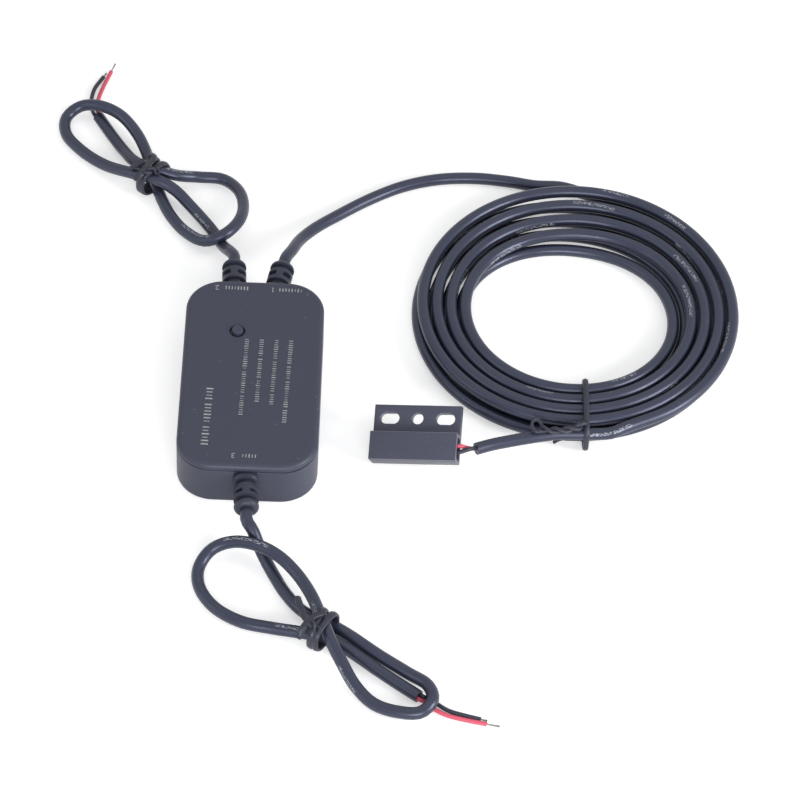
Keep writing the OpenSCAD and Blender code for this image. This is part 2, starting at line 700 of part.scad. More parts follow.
module reed_capsule() {
    color("#9fc4b4") in_sensor() translate(reed_centre) rotate([0, 90, 0])
        cylinder(h = capsule_l, d = capsule_d, center = true);
}

module reed_leads() {
    color("silver") in_sensor() for (side = [-1, 1])
        translate(reed_centre + [side * (capsule_l + reed_lead_l) / 2, 0, 0]) rotate([0, 90, 0])
            cylinder(h = reed_lead_l, d = reed_lead_d, center = true);
}

// Place of a point of the sensor in the frame of the whole part
function turn_x(v, a) = [v.x, v.y * cos(a) - v.z * sin(a), v.y * sin(a) + v.z * cos(a)];
function turn_y(v, a) = [v.x * cos(a) + v.z * sin(a), v.y, v.z * cos(a) - v.x * sin(a)];
function turn_z(v, a) = [v.x * cos(a) - v.y * sin(a), v.x * sin(a) + v.y * cos(a), v.z];
function sensor_turn(v) = turn_z(turn_y(turn_x(v, sensor_tilt.x), sensor_tilt.y), sensor_tilt.z);
function sensor_wire_end(hand) = let (mouth = [sensor_l / 2 - end_pocket,
    sensor_body_depth / 2 + hand * wire_gap / 2, sensor_h / 2])
    [sensor_place + sensor_turn(mouth), sensor_turn([1, 0, 0])];
function sensor_wire_path(hand) = let (e = sensor_wire_end(hand), s = wire_start(tail_path, -hand),
    dir = unit(tail_end - tail_path[len(tail_path) - 2]))
    [s, s + wire_d / 2 * dir, e[0] + (end_pocket + wire_d) * e[1], e[0]];

module sensor_red_wire() { color("#c8303f") tube(sensor_wire_path(1), wire_d, wire_sides); }
module sensor_black_wire() { color(cord_black) tube(sensor_wire_path(-1), wire_d, wire_sides); }

base_shell();
top_cover();
circuit_board();
wifi_board();
wifi_shield();
relay();
inductor();
capacitor();
terminal_pads();
switch_body();
switch_plunger();
button_cap();
housing_screws();
board_screws();
dc_relief();
gnd_relief();
sensor_relief();
dc_inner_wires();
gnd_inner_wires();
sensor_inner_wires();
dc_cord();
dc_red_wire();
dc_black_wire();
dc_bare_strands();
dc_tie();
gnd_cord();
gnd_red_wire();
gnd_black_wire();
gnd_bare_strands();
gnd_tie();
sensor_lead();
sensor_coil();
sensor_tail();
coil_tie();
sensor_red_wire();
sensor_black_wire();
sensor_housing();
sensor_potting();
reed_capsule();
reed_leads();
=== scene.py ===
"""Looks of the garage door controller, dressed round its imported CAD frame.

A sealed box with a small pairing button, two supply cords tied in bows, and
a coiled cord that ends in a flanged reed sensor. All places are in metres in
the frame of the CAD, with the long side of the box along Y and +Z up.
"""

import logging
import math
from contextlib import contextmanager
from dataclasses import dataclass
from enum import Enum
from typing import Callable, Iterator, Optional, Sequence

import bmesh
import bpy
import numpy as np
from mathutils import Matrix, Vector


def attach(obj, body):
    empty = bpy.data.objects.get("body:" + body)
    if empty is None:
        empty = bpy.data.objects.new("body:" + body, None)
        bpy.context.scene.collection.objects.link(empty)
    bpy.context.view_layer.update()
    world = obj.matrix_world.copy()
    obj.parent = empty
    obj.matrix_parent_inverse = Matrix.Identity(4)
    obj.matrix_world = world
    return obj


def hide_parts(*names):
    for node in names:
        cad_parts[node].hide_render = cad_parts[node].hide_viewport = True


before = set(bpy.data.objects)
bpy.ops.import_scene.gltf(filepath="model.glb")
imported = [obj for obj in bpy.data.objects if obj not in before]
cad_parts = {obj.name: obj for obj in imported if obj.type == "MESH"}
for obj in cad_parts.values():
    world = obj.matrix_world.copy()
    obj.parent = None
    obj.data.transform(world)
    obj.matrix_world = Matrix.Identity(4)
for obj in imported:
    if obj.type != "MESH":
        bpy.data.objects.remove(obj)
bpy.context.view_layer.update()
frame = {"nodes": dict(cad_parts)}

LOG = logging.getLogger("garage_controller")
MM = 0.001
Point = Sequence[float]
Color = tuple[float, float, float]
Ring = list[Vector]
Shape = tuple[list, list]
UP = Vector((0, 0, 1))
FULL_TURN = math.tau
SAME_PLACE = 1e-7
MOULDED_SHARP = 40.0


class Body(Enum):
    """The moving bodies that a piece can ride on."""

    CONTROLLER = "controller"
    BUTTON = "button"


# Mesh making


def metres(points: Sequence[Point]) -> list[Vector]:
    """Returns places given in millimetres as vectors in metres."""
    return [Vector(p) * MM for p in points]


def at_mm(x: float, y: float, z: float = 0.0) -> Matrix:
    """Returns the shift to a place given in millimetres."""
    return Matrix.Translation((x * MM, y * MM, z * MM))


def held(value: float) -> float:
    """Returns the value held between 0 and 1."""
    return min(1.0, max(0.0, value))


def eased(value: float) -> float:
    """Returns a soft step from 0 to 1 as the value goes from 0 to 1."""
    share = held(value)
    return share * share * (3 - 2 * share)


def quarter(steps: int) -> list[float]:
    """Returns the angles of a quarter turn in equal steps."""
    return [math.pi / 2 * k / steps for k in range(steps + 1)]


def circle(middle: Vector, axes: tuple[Vector, Vector], radius: float, count: int) -> Ring:
    """Draws a ring of points about a middle.

    Args:
        middle: Centre of the ring.
        axes: Two unit vectors across each other in its plane.
        radius: Its radius.
        count: Number of points.

    Returns:
        The points.
    """
    side, up = axes
    turns = (FULL_TURN * k / count for k in range(count))
    return [middle + radius * (math.cos(t) * side + math.sin(t) * up) for t in turns]


def heading(a: Vector, b: Vector) -> tuple[Vector, Vector]:
    """Returns the direction from a to b and the level direction to its left."""
    ahead = (b - a).normalized()
    return ahead, UP.cross(ahead).normalized()


def smooth_route(points: Sequence[Vector], step: float) -> list[Vector]:
    """Draws one smooth line through the points of a route.

    Args:
        points: The route's points, in metres.
        step: Distance between neighbouring points of the result, in metres.

    Returns:
        Evenly spaced points on a centripetal Catmull-Rom curve.
    """
    p = [2 * points[0] - points[1], *points, 2 * points[-1] - points[-2]]
    fine = [points[0].copy()]
    for i in range(1, len(p) - 2):
        knots = [0.0]
        for a, b in ((i - 1, i), (i, i + 1), (i + 1, i + 2)):
            knots.append(knots[-1] + max((p[b] - p[a]).length, 1e-9) ** 0.5)
        t0, t1, t2, t3 = knots
        for k in range(1, 25):
            t = t1 + (t2 - t1) * k / 24
            a1 = p[i - 1] * ((t1 - t) / (t1 - t0)) + p[i] * ((t - t0) / (t1 - t0))
            a2 = p[i] * ((t2 - t) / (t2 - t1)) + p[i + 1] * ((t - t1) / (t2 - t1))
            a3 = p[i + 1] * ((t3 - t) / (t3 - t2)) + p[i + 2] * ((t - t2) / (t3 - t2))
            b1 = a1 * ((t2 - t) / (t2 - t0)) + a2 * ((t - t0) / (t2 - t0))
            b2 = a2 * ((t3 - t) / (t3 - t1)) + a3 * ((t - t1) / (t3 - t1))
            fine.append(b1 * ((t2 - t) / (t2 - t1)) + b2 * ((t - t1) / (t2 - t1)))
    xyz = np.array([tuple(v) for v in fine])
    run = np.concatenate([[0], np.cumsum(np.linalg.norm(np.diff(xyz, axis=0), axis=1))])
    at = np.linspace(0, run[-1], max(4, round(run[-1] / step) + 1))
    return [Vector(v) for v in zip(*(np.interp(at, run, xyz[:, k]) for k in range(3)))]


def smooth_mm(points: Sequence[Point], step: float) -> list[Vector]:
    """Returns a smooth line through places, with places and step in millimetres."""
    return [v / MM for v in smooth_route(metres(points), step * MM)]


def above_floor(path: Sequence[Vector], radius: float) -> list[Vector]:
    """Returns a cord's path, lifted where it would sink into the floor."""
    return [Vector((p.x, p.y, max(p.z, radius))) for p in path]


def shown(obj: bpy.types.Object) -> bpy.types.Object:
    """Links an object into the scene and returns it."""
    bpy.context.scene.collection.objects.link(obj)
    return obj


@contextmanager
def editing(mesh: bpy.types.Mesh) -> Iterator[bmesh.types.BMesh]:
    """Opens a mesh for changes and writes them back at the end."""
    bm = bmesh.new()
    bm.from_mesh(mesh)
    yield bm
    bm.to_mesh(mesh)
    bm.free()


def shape_of(mesh: bpy.types.Mesh) -> Shape:
    """Returns the vertices and faces of a mesh."""
    return [v.co.copy() for v in mesh.vertices], [tuple(p.vertices) for p in mesh.polygons]


def new_piece(
    name: str,
    verts: Sequence[Point],
    faces: Sequence[Sequence[int]],
    material: bpy.types.Material,
    sharp_deg: float = 35.0,
    uvs: Optional[Callable[[int, int], tuple[float, float]]] = None,
) -> bpy.types.Object:
    """Makes a mesh object at the origin with smooth shading and outward faces.

    Args:
        name: Name of the piece.
        verts: Places of its vertices, in metres.
        faces: Vertex numbers of its faces.
        material: Its finish.
        sharp_deg: Edges that fold by more than this stay sharp.
        uvs: Gives the UV of a face's corner, from the face's and corner's number.

    Returns:
        The new object.
    """
    mesh = bpy.data.meshes.new(name)
    mesh.from_pydata([tuple(v) for v in verts], [], [tuple(f) for f in faces])
    if uvs is not None:
        layer = mesh.uv_layers.new(name="run")
        for poly in mesh.polygons:
            for k, loop in enumerate(poly.loop_indices):
                layer.data[loop].uv = uvs(poly.index, k)
    return piece_of_mesh(name, mesh, material, sharp_deg)


def piece_of_mesh(
    name: str, mesh: bpy.types.Mesh, material: bpy.types.Material, sharp_deg: float = 35.0
) -> bpy.types.Object:
    """Puts a mesh in the scene, closed, facing outwards and smoothly shaded.

    Args:
        name: Name of the piece.
        mesh: Its mesh, placed in metres.
        material: Its finish, put in the only slot.
        sharp_deg: Edges that fold by more than this stay sharp.

    Returns:
        The new object.
    """
    with editing(mesh) as bm:
        bmesh.ops.remove_doubles(bm, verts=bm.verts, dist=SAME_PLACE)
        bmesh.ops.recalc_face_normals(bm, faces=bm.faces)
    mesh.materials.clear()
    mesh.materials.append(material)
    for poly in mesh.polygons:
        poly.material_index = 0
    mesh.shade_smooth()
    mesh.set_sharp_from_angle(angle=math.radians(sharp_deg))
    return shown(bpy.data.objects.new(name, mesh))


def loft(rings: Sequence[Ring], caps: bool = True, round_trip: bool = False) -> Shape:
    """Joins rings of equal count into a skin.

    Args:
        rings: Closed rings of points, one after the other.
        caps: Closes the first and the last ring with a face.
        round_trip: Joins the last ring to the first, as in a hoop.

    Returns:
        Vertices and faces.
    """
    n = len(rings[0])
    verts = [v for ring in rings for v in ring]
    faces: list = []
    last = len(rings) if round_trip else len(rings) - 1
    for i in range(last):
        j = (i + 1) % len(rings)
        for k in range(n):
            m = (k + 1) % n
            faces.append((i * n + k, i * n + m, j * n + m, j * n + k))
    if caps and not round_trip:
        faces.append(tuple(range(n - 1, -1, -1)))
        faces.append(tuple((len(rings) - 1) * n + k for k in range(n)))
    return verts, faces


def joined(parts: Sequence[Shape]) -> Shape:
    """Puts several vertex and face lists into one.

    Args:
        parts: Pairs of vertices and faces.

    Returns:
        One pair that holds them all.
    """
    verts: list = []
    faces: list = []
    for v, f in parts:
        base = len(verts)
        verts.extend(v)
        faces.extend(tuple(base + i for i in face) for face in f)
    return verts, faces


def revolve(profile: Sequence[tuple[float, float]], place: Matrix, sides: int, hollow: bool = False) -> Shape:
    """Turns a profile about local Z.

    Args:
        profile: Radius and height pairs in millimetres, from one end to the other.
        place: Puts the turned shape in its place.
        sides: Number of sides.
        hollow: Joins the last pair to the first, as in a sleeve.

    Returns:
        Vertices and faces.
    """
    rings = []
    for radius, height in profile:
        r, z = radius * MM, height * MM
        turns = [FULL_TURN * k / sides for k in range(sides)]
        rings.append([place @ Vector((r * math.cos(t), r * math.sin(t), z)) for t in turns])
    return loft(rings, round_trip=hollow)


def rod(x: float, y: float, low: float, high: float, diameter: float, sides: int) -> Shape:
    """Makes an upright round rod.

    Args:
        x: Its place along X, in millimetres.
        y: Its place along Y.
        low: Height of its foot.
        high: Height of its top.
        diameter: Its diameter.
        sides: Number of sides.

    Returns:
        Vertices and faces.
    """
    return revolve([(diameter / 2, low), (diameter / 2, high)], at_mm(x, y), sides)


def block(x: float, y: float, half: tuple[float, float], low: float, high: float) -> Shape:
    """Makes an upright block.

    Args:
        x: Its middle along X, in millimetres.
        y: Its middle along Y.
        half: Half its size along X and Y.
        low: Height of its foot.
        high: Height of its top.

    Returns:
        Vertices and faces.
    """
    corners = [(x + sx * half[0], y + sy * half[1]) for sx, sy in ((-1, -1), (1, -1), (1, 1), (-1, 1))]
    return loft([metres([(*corner, z) for corner in corners]) for z in (low, high)])


def sweep_frames(path: Sequence[Vector]) -> list[tuple[Vector, Vector]]:
    """Gives the side and upward directions along a path that lies on the ground.

    Args:
        path: The path's points.

    Returns:
        One pair of unit vectors for each point.
    """
    frames = []
    for i, _ in enumerate(path):
        ahead, side = heading(path[max(i - 1, 0)], path[min(i + 1, len(path) - 1)])
        frames.append((side, ahead.cross(side)))
    return frames


def swept_tube(
    name: str,
    path: Sequence[Vector],
    radius: float,
    sides: int,
    material: bpy.types.Material,
    rounding: float = 0.0,
) -> bpy.types.Object:
    """Sweeps a round jacket along a path, with its run in the UV map.

    The U axis goes once round, with 0.25 on top, and V is the length in metres.

    Args:
        name: Name of the piece.
        path: Smooth centreline, in metres.
        radius: Radius of the jacket.
        sides: Number of sides.
        material: Its finish.
        rounding: Radius of the cut ends' edges.

    Returns:
        The new object.
    """
    frames = sweep_frames(path)
    runs = [0.0]
    for a, b in zip(path, path[1:]):
        runs.append(runs[-1] + (b - a).length)
    rings, marks = [], []

    def add(i: int, r: float, run: float) -> None:
        """Adds a ring of radius r at point i of the path."""
        rings.append(circle(path[i], frames[i], r, sides))
        marks.append(run)

    if rounding:
        add(0, radius - rounding, 0.0)
    for i, run in enumerate(runs):
        add(i, radius, run)
    if rounding:
        add(len(path) - 1, radius - rounding, runs[-1])
    verts, faces = loft(rings)
    walls = (len(rings) - 1) * sides

    def uv(face: int, corner: int) -> tuple[float, float]:
        """Gives the UV of one corner of a wall or cap face."""
        if face >= walls:
            return 0.75, marks[0]
        i, k = divmod(face, sides)
        return (k + (1 if corner in (1, 2) else 0)) / sides, marks[i + (1 if corner > 1 else 0)]

    return new_piece(name, verts, faces, material, 50, uv)


def cut_away(obj: bpy.types.Object, cutters: Sequence[Shape]) -> None:
    """Takes closed shapes out of a piece and keeps the result as its mesh.

    Args:
        obj: The piece.
        cutters: Vertices and faces of each closed shape.
    """
    for verts, faces in cutters:
        tool = new_piece("cutter", verts, faces, obj.data.materials[0])
        cut = obj.modifiers.new("cut", "BOOLEAN")
        cut.operation, cut.solver, cut.object = "DIFFERENCE", "EXACT", tool
        bake(obj)
        bpy.data.objects.remove(tool)


def soften(obj: bpy.types.Object, width: float, segments: int, angle_deg: float = MOULDED_SHARP) -> None:
    """Rounds the sharp edges of a piece, as a mould does.

    Args:
        obj: The piece.
        width: Width of the rounding, in metres.
        segments: Faces across each rounding.
        angle_deg: Only edges that fold by more than this are rounded.
    """
    bevel = obj.modifiers.new("edges", "BEVEL")
    bevel.width, bevel.segments = width, segments
    bevel.limit_method, bevel.angle_limit = "ANGLE", math.radians(angle_deg)
    bevel.use_clamp_overlap = True
    bake(obj)
    obj.data.shade_smooth()
    obj.data.set_sharp_from_angle(angle=math.radians(50))


def bake(obj: bpy.types.Object) -> None:
    """Turns a piece's evaluated shape into its own mesh and drops its modifiers."""
    bpy.context.view_layer.update()
    ready = obj.evaluated_get(bpy.context.evaluated_depsgraph_get())
    mesh = bpy.data.meshes.new_from_object(ready)
    obj.modifiers.clear()
    obj.data = mesh


def settle(
    obj: bpy.types.Object, replaced: Sequence[str] = (), body: Body = Body.CONTROLLER
) -> bpy.types.Object:
    """Hands a finished piece to its body and its CAD nodes.

    Args:
        obj: The piece.
        replaced: CAD nodes that the piece stands for.
        body: The body that it rides on.

    Returns:
        The same piece.
    """
    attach(obj, body.value)
    if replaced:
        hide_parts(*replaced)
    LOG.info("made %s: %d faces, for %s", obj.name, len(obj.data.polygons), ", ".join(replaced) or "no node")
    return obj


# Finishes


class Shade:
    """A material's node tree with short calls for the nodes used here."""

    def __init__(self, name: str) -> None:
        """Starts a material with a Principled shader.

        Args:
            name: Name of the material.
        """
        self.material = bpy.data.materials.new(name)
        self.material.use_nodes = True
        self.tree = self.material.node_tree
        self.surface = self.tree.nodes["Principled BSDF"]
        self.coords = self.tree.nodes.new("ShaderNodeTexCoord")

    def link(self, out: bpy.types.NodeSocket, into: bpy.types.NodeSocket) -> None:
        """Joins two sockets."""
        self.tree.links.new(out, into)

    def plain(self, **values: object) -> None:
        """Sets constant sockets of the shader, named with underscores."""
        for key, value in values.items():
            self.surface.inputs[key.replace("_", " ")].default_value = value

    def added(self, kind: str, out: str, **inputs: object) -> bpy.types.NodeSocket:
        """Adds a node and feeds its sockets.

        Args:
            kind: Type name of the node.
            out: Name of the socket that holds its result.
            inputs: Sockets to feed, with underscores for spaces, by value or link.

        Returns:
            The result.
        """
        node = self.tree.nodes.new(kind)
        for key, value in inputs.items():
            socket = node.inputs[key.replace("_", " ")]
            if isinstance(value, bpy.types.NodeSocket):
                self.link(value, socket)
            else:
                socket.default_value = value
        return node.outputs[out]

    def stretched(self, source: bpy.types.NodeSocket, scale: Point) -> bpy.types.NodeSocket:
        """Returns coordinates scaled along X, Y and Z."""
        return self.added("ShaderNodeMapping", "Vector", Vector=source, Scale=scale)

    def noise(
        self, scale: float, detail: float = 2.0, source: Optional[bpy.types.NodeSocket] = None
    ) -> bpy.types.NodeSocket:
        """Adds noise on Object coordinates or on the given ones.

        Args:
            scale: Cells for each metre.
            detail: Number of finer layers.
            source: Other coordinates.

        Returns:
            The noise value.
        """
        place = source or self.coords.outputs["Object"]
        return self.added("ShaderNodeTexNoise", "Fac", Vector=place, Scale=scale, Detail=detail)

    def ranged(self, value: bpy.types.NodeSocket, span: tuple[float, float, float, float]) -> bpy.types.NodeSocket:
        """Maps a value from one range to another, held at its ends.

        Args:
            value: The value.
            span: From low, from high, to low, to high.

        Returns:
            The mapped value.
        """
        limits = dict(zip(("From Min", "From Max", "To Min", "To Max"), span))
        return self.added("ShaderNodeMapRange", "Result", Value=value, **limits)

    def math(self, op: str, a: bpy.types.NodeSocket, b: object) -> bpy.types.NodeSocket:
        """Combines a value with a number or another value.

        Args:
            op: Name of the operation.
            a: First value.
            b: Number or second value.

        Returns:
            The result.
        """
        node = self.tree.nodes.new("ShaderNodeMath")
        node.operation = op
        self.link(a, node.inputs[0])
        if isinstance(b, (int, float)):
            node.inputs[1].default_value = b
        else:
            self.link(b, node.inputs[1])
        return node.outputs["Value"]

    def mixed(self, factor: bpy.types.NodeSocket, a: object, b: object) -> bpy.types.NodeSocket:
        """Mixes two colours.

        Args:
            factor: Share of the second colour.
            a: First colour, as numbers or a socket.
            b: Second colour, as numbers or a socket.

        Returns:
            The mixed colour.
        """
        node = self.tree.nodes.new("ShaderNodeMix")
        node.data_type = "RGBA"
        self.link(factor, node.inputs[0])
        for value, socket in ((a, node.inputs[6]), (b, node.inputs[7])):
            if isinstance(value, tuple):
                socket.default_value = (*value[:3], 1.0)
            else:
                self.link(value, socket)
        return node.outputs[2]

    def bump(self, height: bpy.types.NodeSocket, depth: float, strength: float = 1.0) -> None:
        """Adds relief to the shader, on top of any that it has.

        Args:
            height: Height from 0 to 1.
            depth: Depth of the relief, in metres.
            strength: Strength of the relief.
        """
        normal = self.surface.inputs["Normal"]
        under = {"Normal": normal.links[0].from_socket} if normal.is_linked else {}
        relief = self.added("ShaderNodeBump", "Normal", Height=height, Distance=depth, Strength=strength, **under)
        self.link(relief, normal)

    def into(self, socket: str, value: bpy.types.NodeSocket) -> None:
        """Feeds a varying value or colour to a socket of the shader."""
        self.link(value, self.surface.inputs[socket])

    def rough(self, value: bpy.types.NodeSocket, low: float, high: float) -> None:
        """Lets the roughness follow a noise value between two limits."""
        self.into("Roughness", self.ranged(value, (0.3, 0.7, low, high)))


def tinted(color: Color, share: float) -> Color:
    """Returns the colour made lighter or darker by a share."""
    return tuple(min(1.0, c * share) for c in color)


@dataclass(frozen=True)
class Moulded:
    """Moulded plastic or rubber with a fine grain, cloudy gloss and light dust."""

    name: str
    color: Color
    roughness: float = 0.45
    grain: float = 0.00035
    depth: float = 0.000012
    cloud: float = 0.12
    dust: float = 0.0
    coat: float = 0.0
    gloss: float = 0.3
    dust_color: Color = (0.34, 0.35, 0.38)

    def material(self) -> bpy.types.Material:
        """Builds the finish.

        Returns:
            The material.
        """
        shade = Shade(self.name)
        grain = shade.noise(1 / self.grain, 3)
        cloud = shade.noise(70, 4)
        color = shade.mixed(cloud, tinted(self.color, 1 - self.cloud), tinted(self.color, 1 + self.cloud))
        fine = shade.ranged(grain, (0.3, 0.7, 0.0, 1.0))
        color = shade.mixed(shade.math("MULTIPLY", fine, 0.25), color, tinted(self.color, 1.5))
        if self.dust:
            speck = shade.ranged(shade.noise(800, 0), (0.83, 0.87, 0.0, self.dust))
            color = shade.mixed(speck, color, self.dust_color)
        shade.into("Base Color", color)
        shade.rough(cloud, self.roughness - 0.05, self.roughness + 0.06)
        shade.bump(grain, self.depth)
        shade.plain(Coat_Weight=self.coat, Coat_Roughness=0.15, Specular_IOR_Level=self.gloss)
        return shade.material


@dataclass(frozen=True)
class Jacket:
    """Extruded cord jacket: streaks along its run and pale marks that wander round it."""

    name: str
    color: Color
    roughness: float = 0.33
    print_strength: float = 0.0
    mark_length: float = 0.0009
    word_length: float = 0.02
    twist: float = 0.22
    gloss: float = 0.45
    streaks: Point = (26.0, 160.0, 1.0)
    marks_round: float = 34.0
    print_half: float = 0.04
    print_color: Color = (0.26, 0.27, 0.3)
    shine_color: Point = (0.72, 0.78, 1.0, 1.0)

    def material(self) -> bpy.types.Material:
        """Builds the finish on the piece's own run map.

        Returns:
            The material.
        """
        shade = Shade(self.name)
        run = shade.coords.outputs["UV"]
        streak = shade.noise(1, 3, shade.stretched(run, self.streaks))
        cloud = shade.noise(90, 3)
        color = shade.mixed(streak, tinted(self.color, 0.86), tinted(self.color, 1.18))
        if self.print_strength:
            axes = shade.tree.nodes.new("ShaderNodeSeparateXYZ")
            shade.link(run, axes.inputs[0])
            drift = shade.noise(1, 0, shade.stretched(run, (0, 1 / self.twist, 1)))
            seat = shade.ranged(drift, (0.25, 0.75, -0.2, 0.7))
            off = shade.math("ABSOLUTE", shade.math("SUBTRACT", axes.outputs["X"], seat), 0.0)
            band = shade.ranged(off, (self.print_half, self.print_half + 0.007, 1.0, 0.0))
            marks = shade.noise(1, 0, shade.stretched(run, (self.marks_round, 1 / self.mark_length, 1)))
            words = shade.noise(1, 0, shade.stretched(run, (0, 1 / self.word_length, 1)))
            ink = shade.math("MULTIPLY", shade.ranged(marks, (0.5, 0.54, 0.0, 1.0)), band)
            ink = shade.math("MULTIPLY", ink, shade.ranged(words, (0.57, 0.59, 0.0, self.print_strength)))
            color = shade.mixed(ink, color, self.print_color)
        shade.into("Base Color", color)
        shade.rough(cloud, self.roughness - 0.05, self.roughness + 0.07)
        shade.bump(streak, 0.00004, 0.5)
        shade.bump(shade.noise(2600, 2), 0.000006)
        shade.plain(Specular_IOR_Level=self.gloss, Specular_Tint=self.shine_color)
        return shade.material


@dataclass(frozen=True)
class Metal:
    """Plated, tinned or drawn metal with fine scratches."""

    name: str
    color: Color
    roughness: float = 0.28
    scratch: Point = (3000.0, 220.0, 3000.0)

    def material(self) -> bpy.types.Material:
        """Builds the finish.

        Returns:
            The material.
        """
        shade = Shade(self.name)
        lines = shade.noise(1, 3, shade.stretched(shade.coords.outputs["Object"], self.scratch))
        cloud = shade.noise(400, 3)
        shade.into("Base Color", shade.mixed(cloud, tinted(self.color, 0.82), self.color))
        shade.rough(lines, self.roughness - 0.08, self.roughness + 0.14)
        shade.bump(lines, 0.000006)
        shade.plain(Metallic=1.0)
        return shade.material


@dataclass(frozen=True)
class SolderMask:
    """Board face: lacquer over copper tracks on a square grid."""

    name: str
    color: Color
    track_pitch: float = 0.0016

    def material(self) -> bpy.types.Material:
        """Builds the finish.

        Returns:
            The material.
        """
        shade = Shade(self.name)
        cells = shade.tree.nodes.new("ShaderNodeTexVoronoi")
        cells.distance, cells.feature = "MANHATTAN", "F1"
        cells.inputs["Scale"].default_value = 1 / self.track_pitch
        shade.link(shade.coords.outputs["Object"], cells.inputs["Vector"])
        track = shade.ranged(cells.outputs["Distance"], (0.42, 0.5, 0.0, 1.0))
        shade.into("Base Color", shade.mixed(track, self.color, tinted(self.color, 1.9)))
        shade.rough(shade.noise(600, 2), 0.22, 0.36)
        shade.bump(track, 0.00003)
        return shade.material


@dataclass(frozen=True)
class Ink:
    """Thin printed ink, worn in small spots."""

    name: str
    color: Color

    def material(self) -> bpy.types.Material:
        """Builds the finish.

        Returns:
            The material.
        """
        shade = Shade(self.name)
        wear = shade.ranged(shade.noise(2400, 3), (0.42, 0.6, 0.0, 1.0))
        shade.into("Base Color", shade.mixed(wear, self.color, tinted(self.color, 0.6)))
        shade.into("Roughness", shade.ranged(wear, (0.0, 1.0, 0.5, 0.65)))
        shade.bump(wear, 0.000004)
        return shade.material


@dataclass(frozen=True)
class Glass:
    """Clear tinted glass of the reed capsule."""

    name: str
    color: Color

    def material(self) -> bpy.types.Material:
        """Builds the finish.

        Returns:
            The material.
        """
        shade = Shade(self.name)
        cloud = shade.noise(500, 2)
        shade.into("Base Color", shade.mixed(cloud, self.color, tinted(self.color, 1.1)))
        shade.rough(cloud, 0.02, 0.07)
        shade.plain(Transmission_Weight=0.85, IOR=1.5)
        return shade.material


class Finish(Enum):
    """The finishes of this part, by the surface that carries them."""

    SHELL = Moulded("shell_plastic", (0.0355, 0.039, 0.0605), 0.45, 0.0003, 0.00001, 0.05, 0.12)
    SENSOR = Moulded("sensor_plastic", (0.048, 0.051, 0.077), 0.34, 0.0008, 0.000008, 0.1, 0.1)
    # Painted highlight: a lighter finish for the sensor housing's rounded edges, standing in for light caught on
    # them.
    SENSOR_EDGE_HIGHLIGHT = Moulded("sensor_edge_highlight", (0.13, 0.134, 0.165), 0.28, 0.0005, 0.00001, 0.25, gloss=0.5)
    RELIEF = Moulded("relief_rubber", (0.026, 0.0285, 0.045), 0.42, 0.0004, 0.00001, 0.08, 0.1)
    BUTTON = Moulded("button_plastic", (0.0355, 0.039, 0.0605), 0.42, 0.0003, 0.00001, 0.05)
    TIE = Moulded("tie_plastic", (0.026, 0.028, 0.042), 0.36, 0.0006, 0.00001, 0.12)
    PLUNGER = Moulded("plunger_plastic", (0.35, 0.22, 0.1), 0.45)
    SWITCH = Moulded("switch_plastic", (0.03, 0.03, 0.03), 0.5)
    RELAY = Moulded("relay_plastic", (0.72, 0.7, 0.64), 0.4)
    FERRITE = Moulded("ferrite_core", (0.05, 0.05, 0.052), 0.7, 0.0005, 0.00003, 0.2)
    RESIN = Moulded("potting_resin", (0.016, 0.017, 0.02), 0.16, 0.0012, 0.00003, 0.15, 0.1, 0.4)
    PRINTED_CORD = Jacket("cord_jacket", (0.0175, 0.0195, 0.035), 0.33, 0.85, gloss=0.62)
    BLACK_WIRE = Jacket("black_insulation", (0.024, 0.025, 0.034), 0.36)
    INNER_WIRE = Moulded("inner_insulation", (0.68, 0.07, 0.11), 0.36)
    RED_WIRE = Jacket("red_insulation", (0.56, 0.08, 0.122), 0.38)
    BOARD = SolderMask("board_lacquer", (0.02, 0.14, 0.06))
    MODULE = SolderMask("module_lacquer", (0.02, 0.045, 0.11), 0.0011)
    SHIELD = Metal("shield_steel", (0.66, 0.66, 0.67), 0.3)
    CAN = Metal("capacitor_can", (0.75, 0.76, 0.78), 0.3)
    SOLDER = Metal("solder_joint", (0.72, 0.72, 0.7), 0.22, (900.0, 900.0, 900.0))
    SCREW = Metal("plated_screw", (0.62, 0.62, 0.64), 0.32, (1500.0, 1500.0, 1500.0))
    TINNED = Metal("tinned_copper", (0.3, 0.29, 0.285), 0.3)
    INK = Ink("label_ink", (0.36, 0.36, 0.375))
    CAPSULE = Glass("reed_glass", (0.7, 0.86, 0.78))

    def made(self) -> bpy.types.Material:
        """Returns this finish's material, built on first use."""
        return bpy.data.materials.get(self.value.name) or self.value.material()


# Geometry Nodes


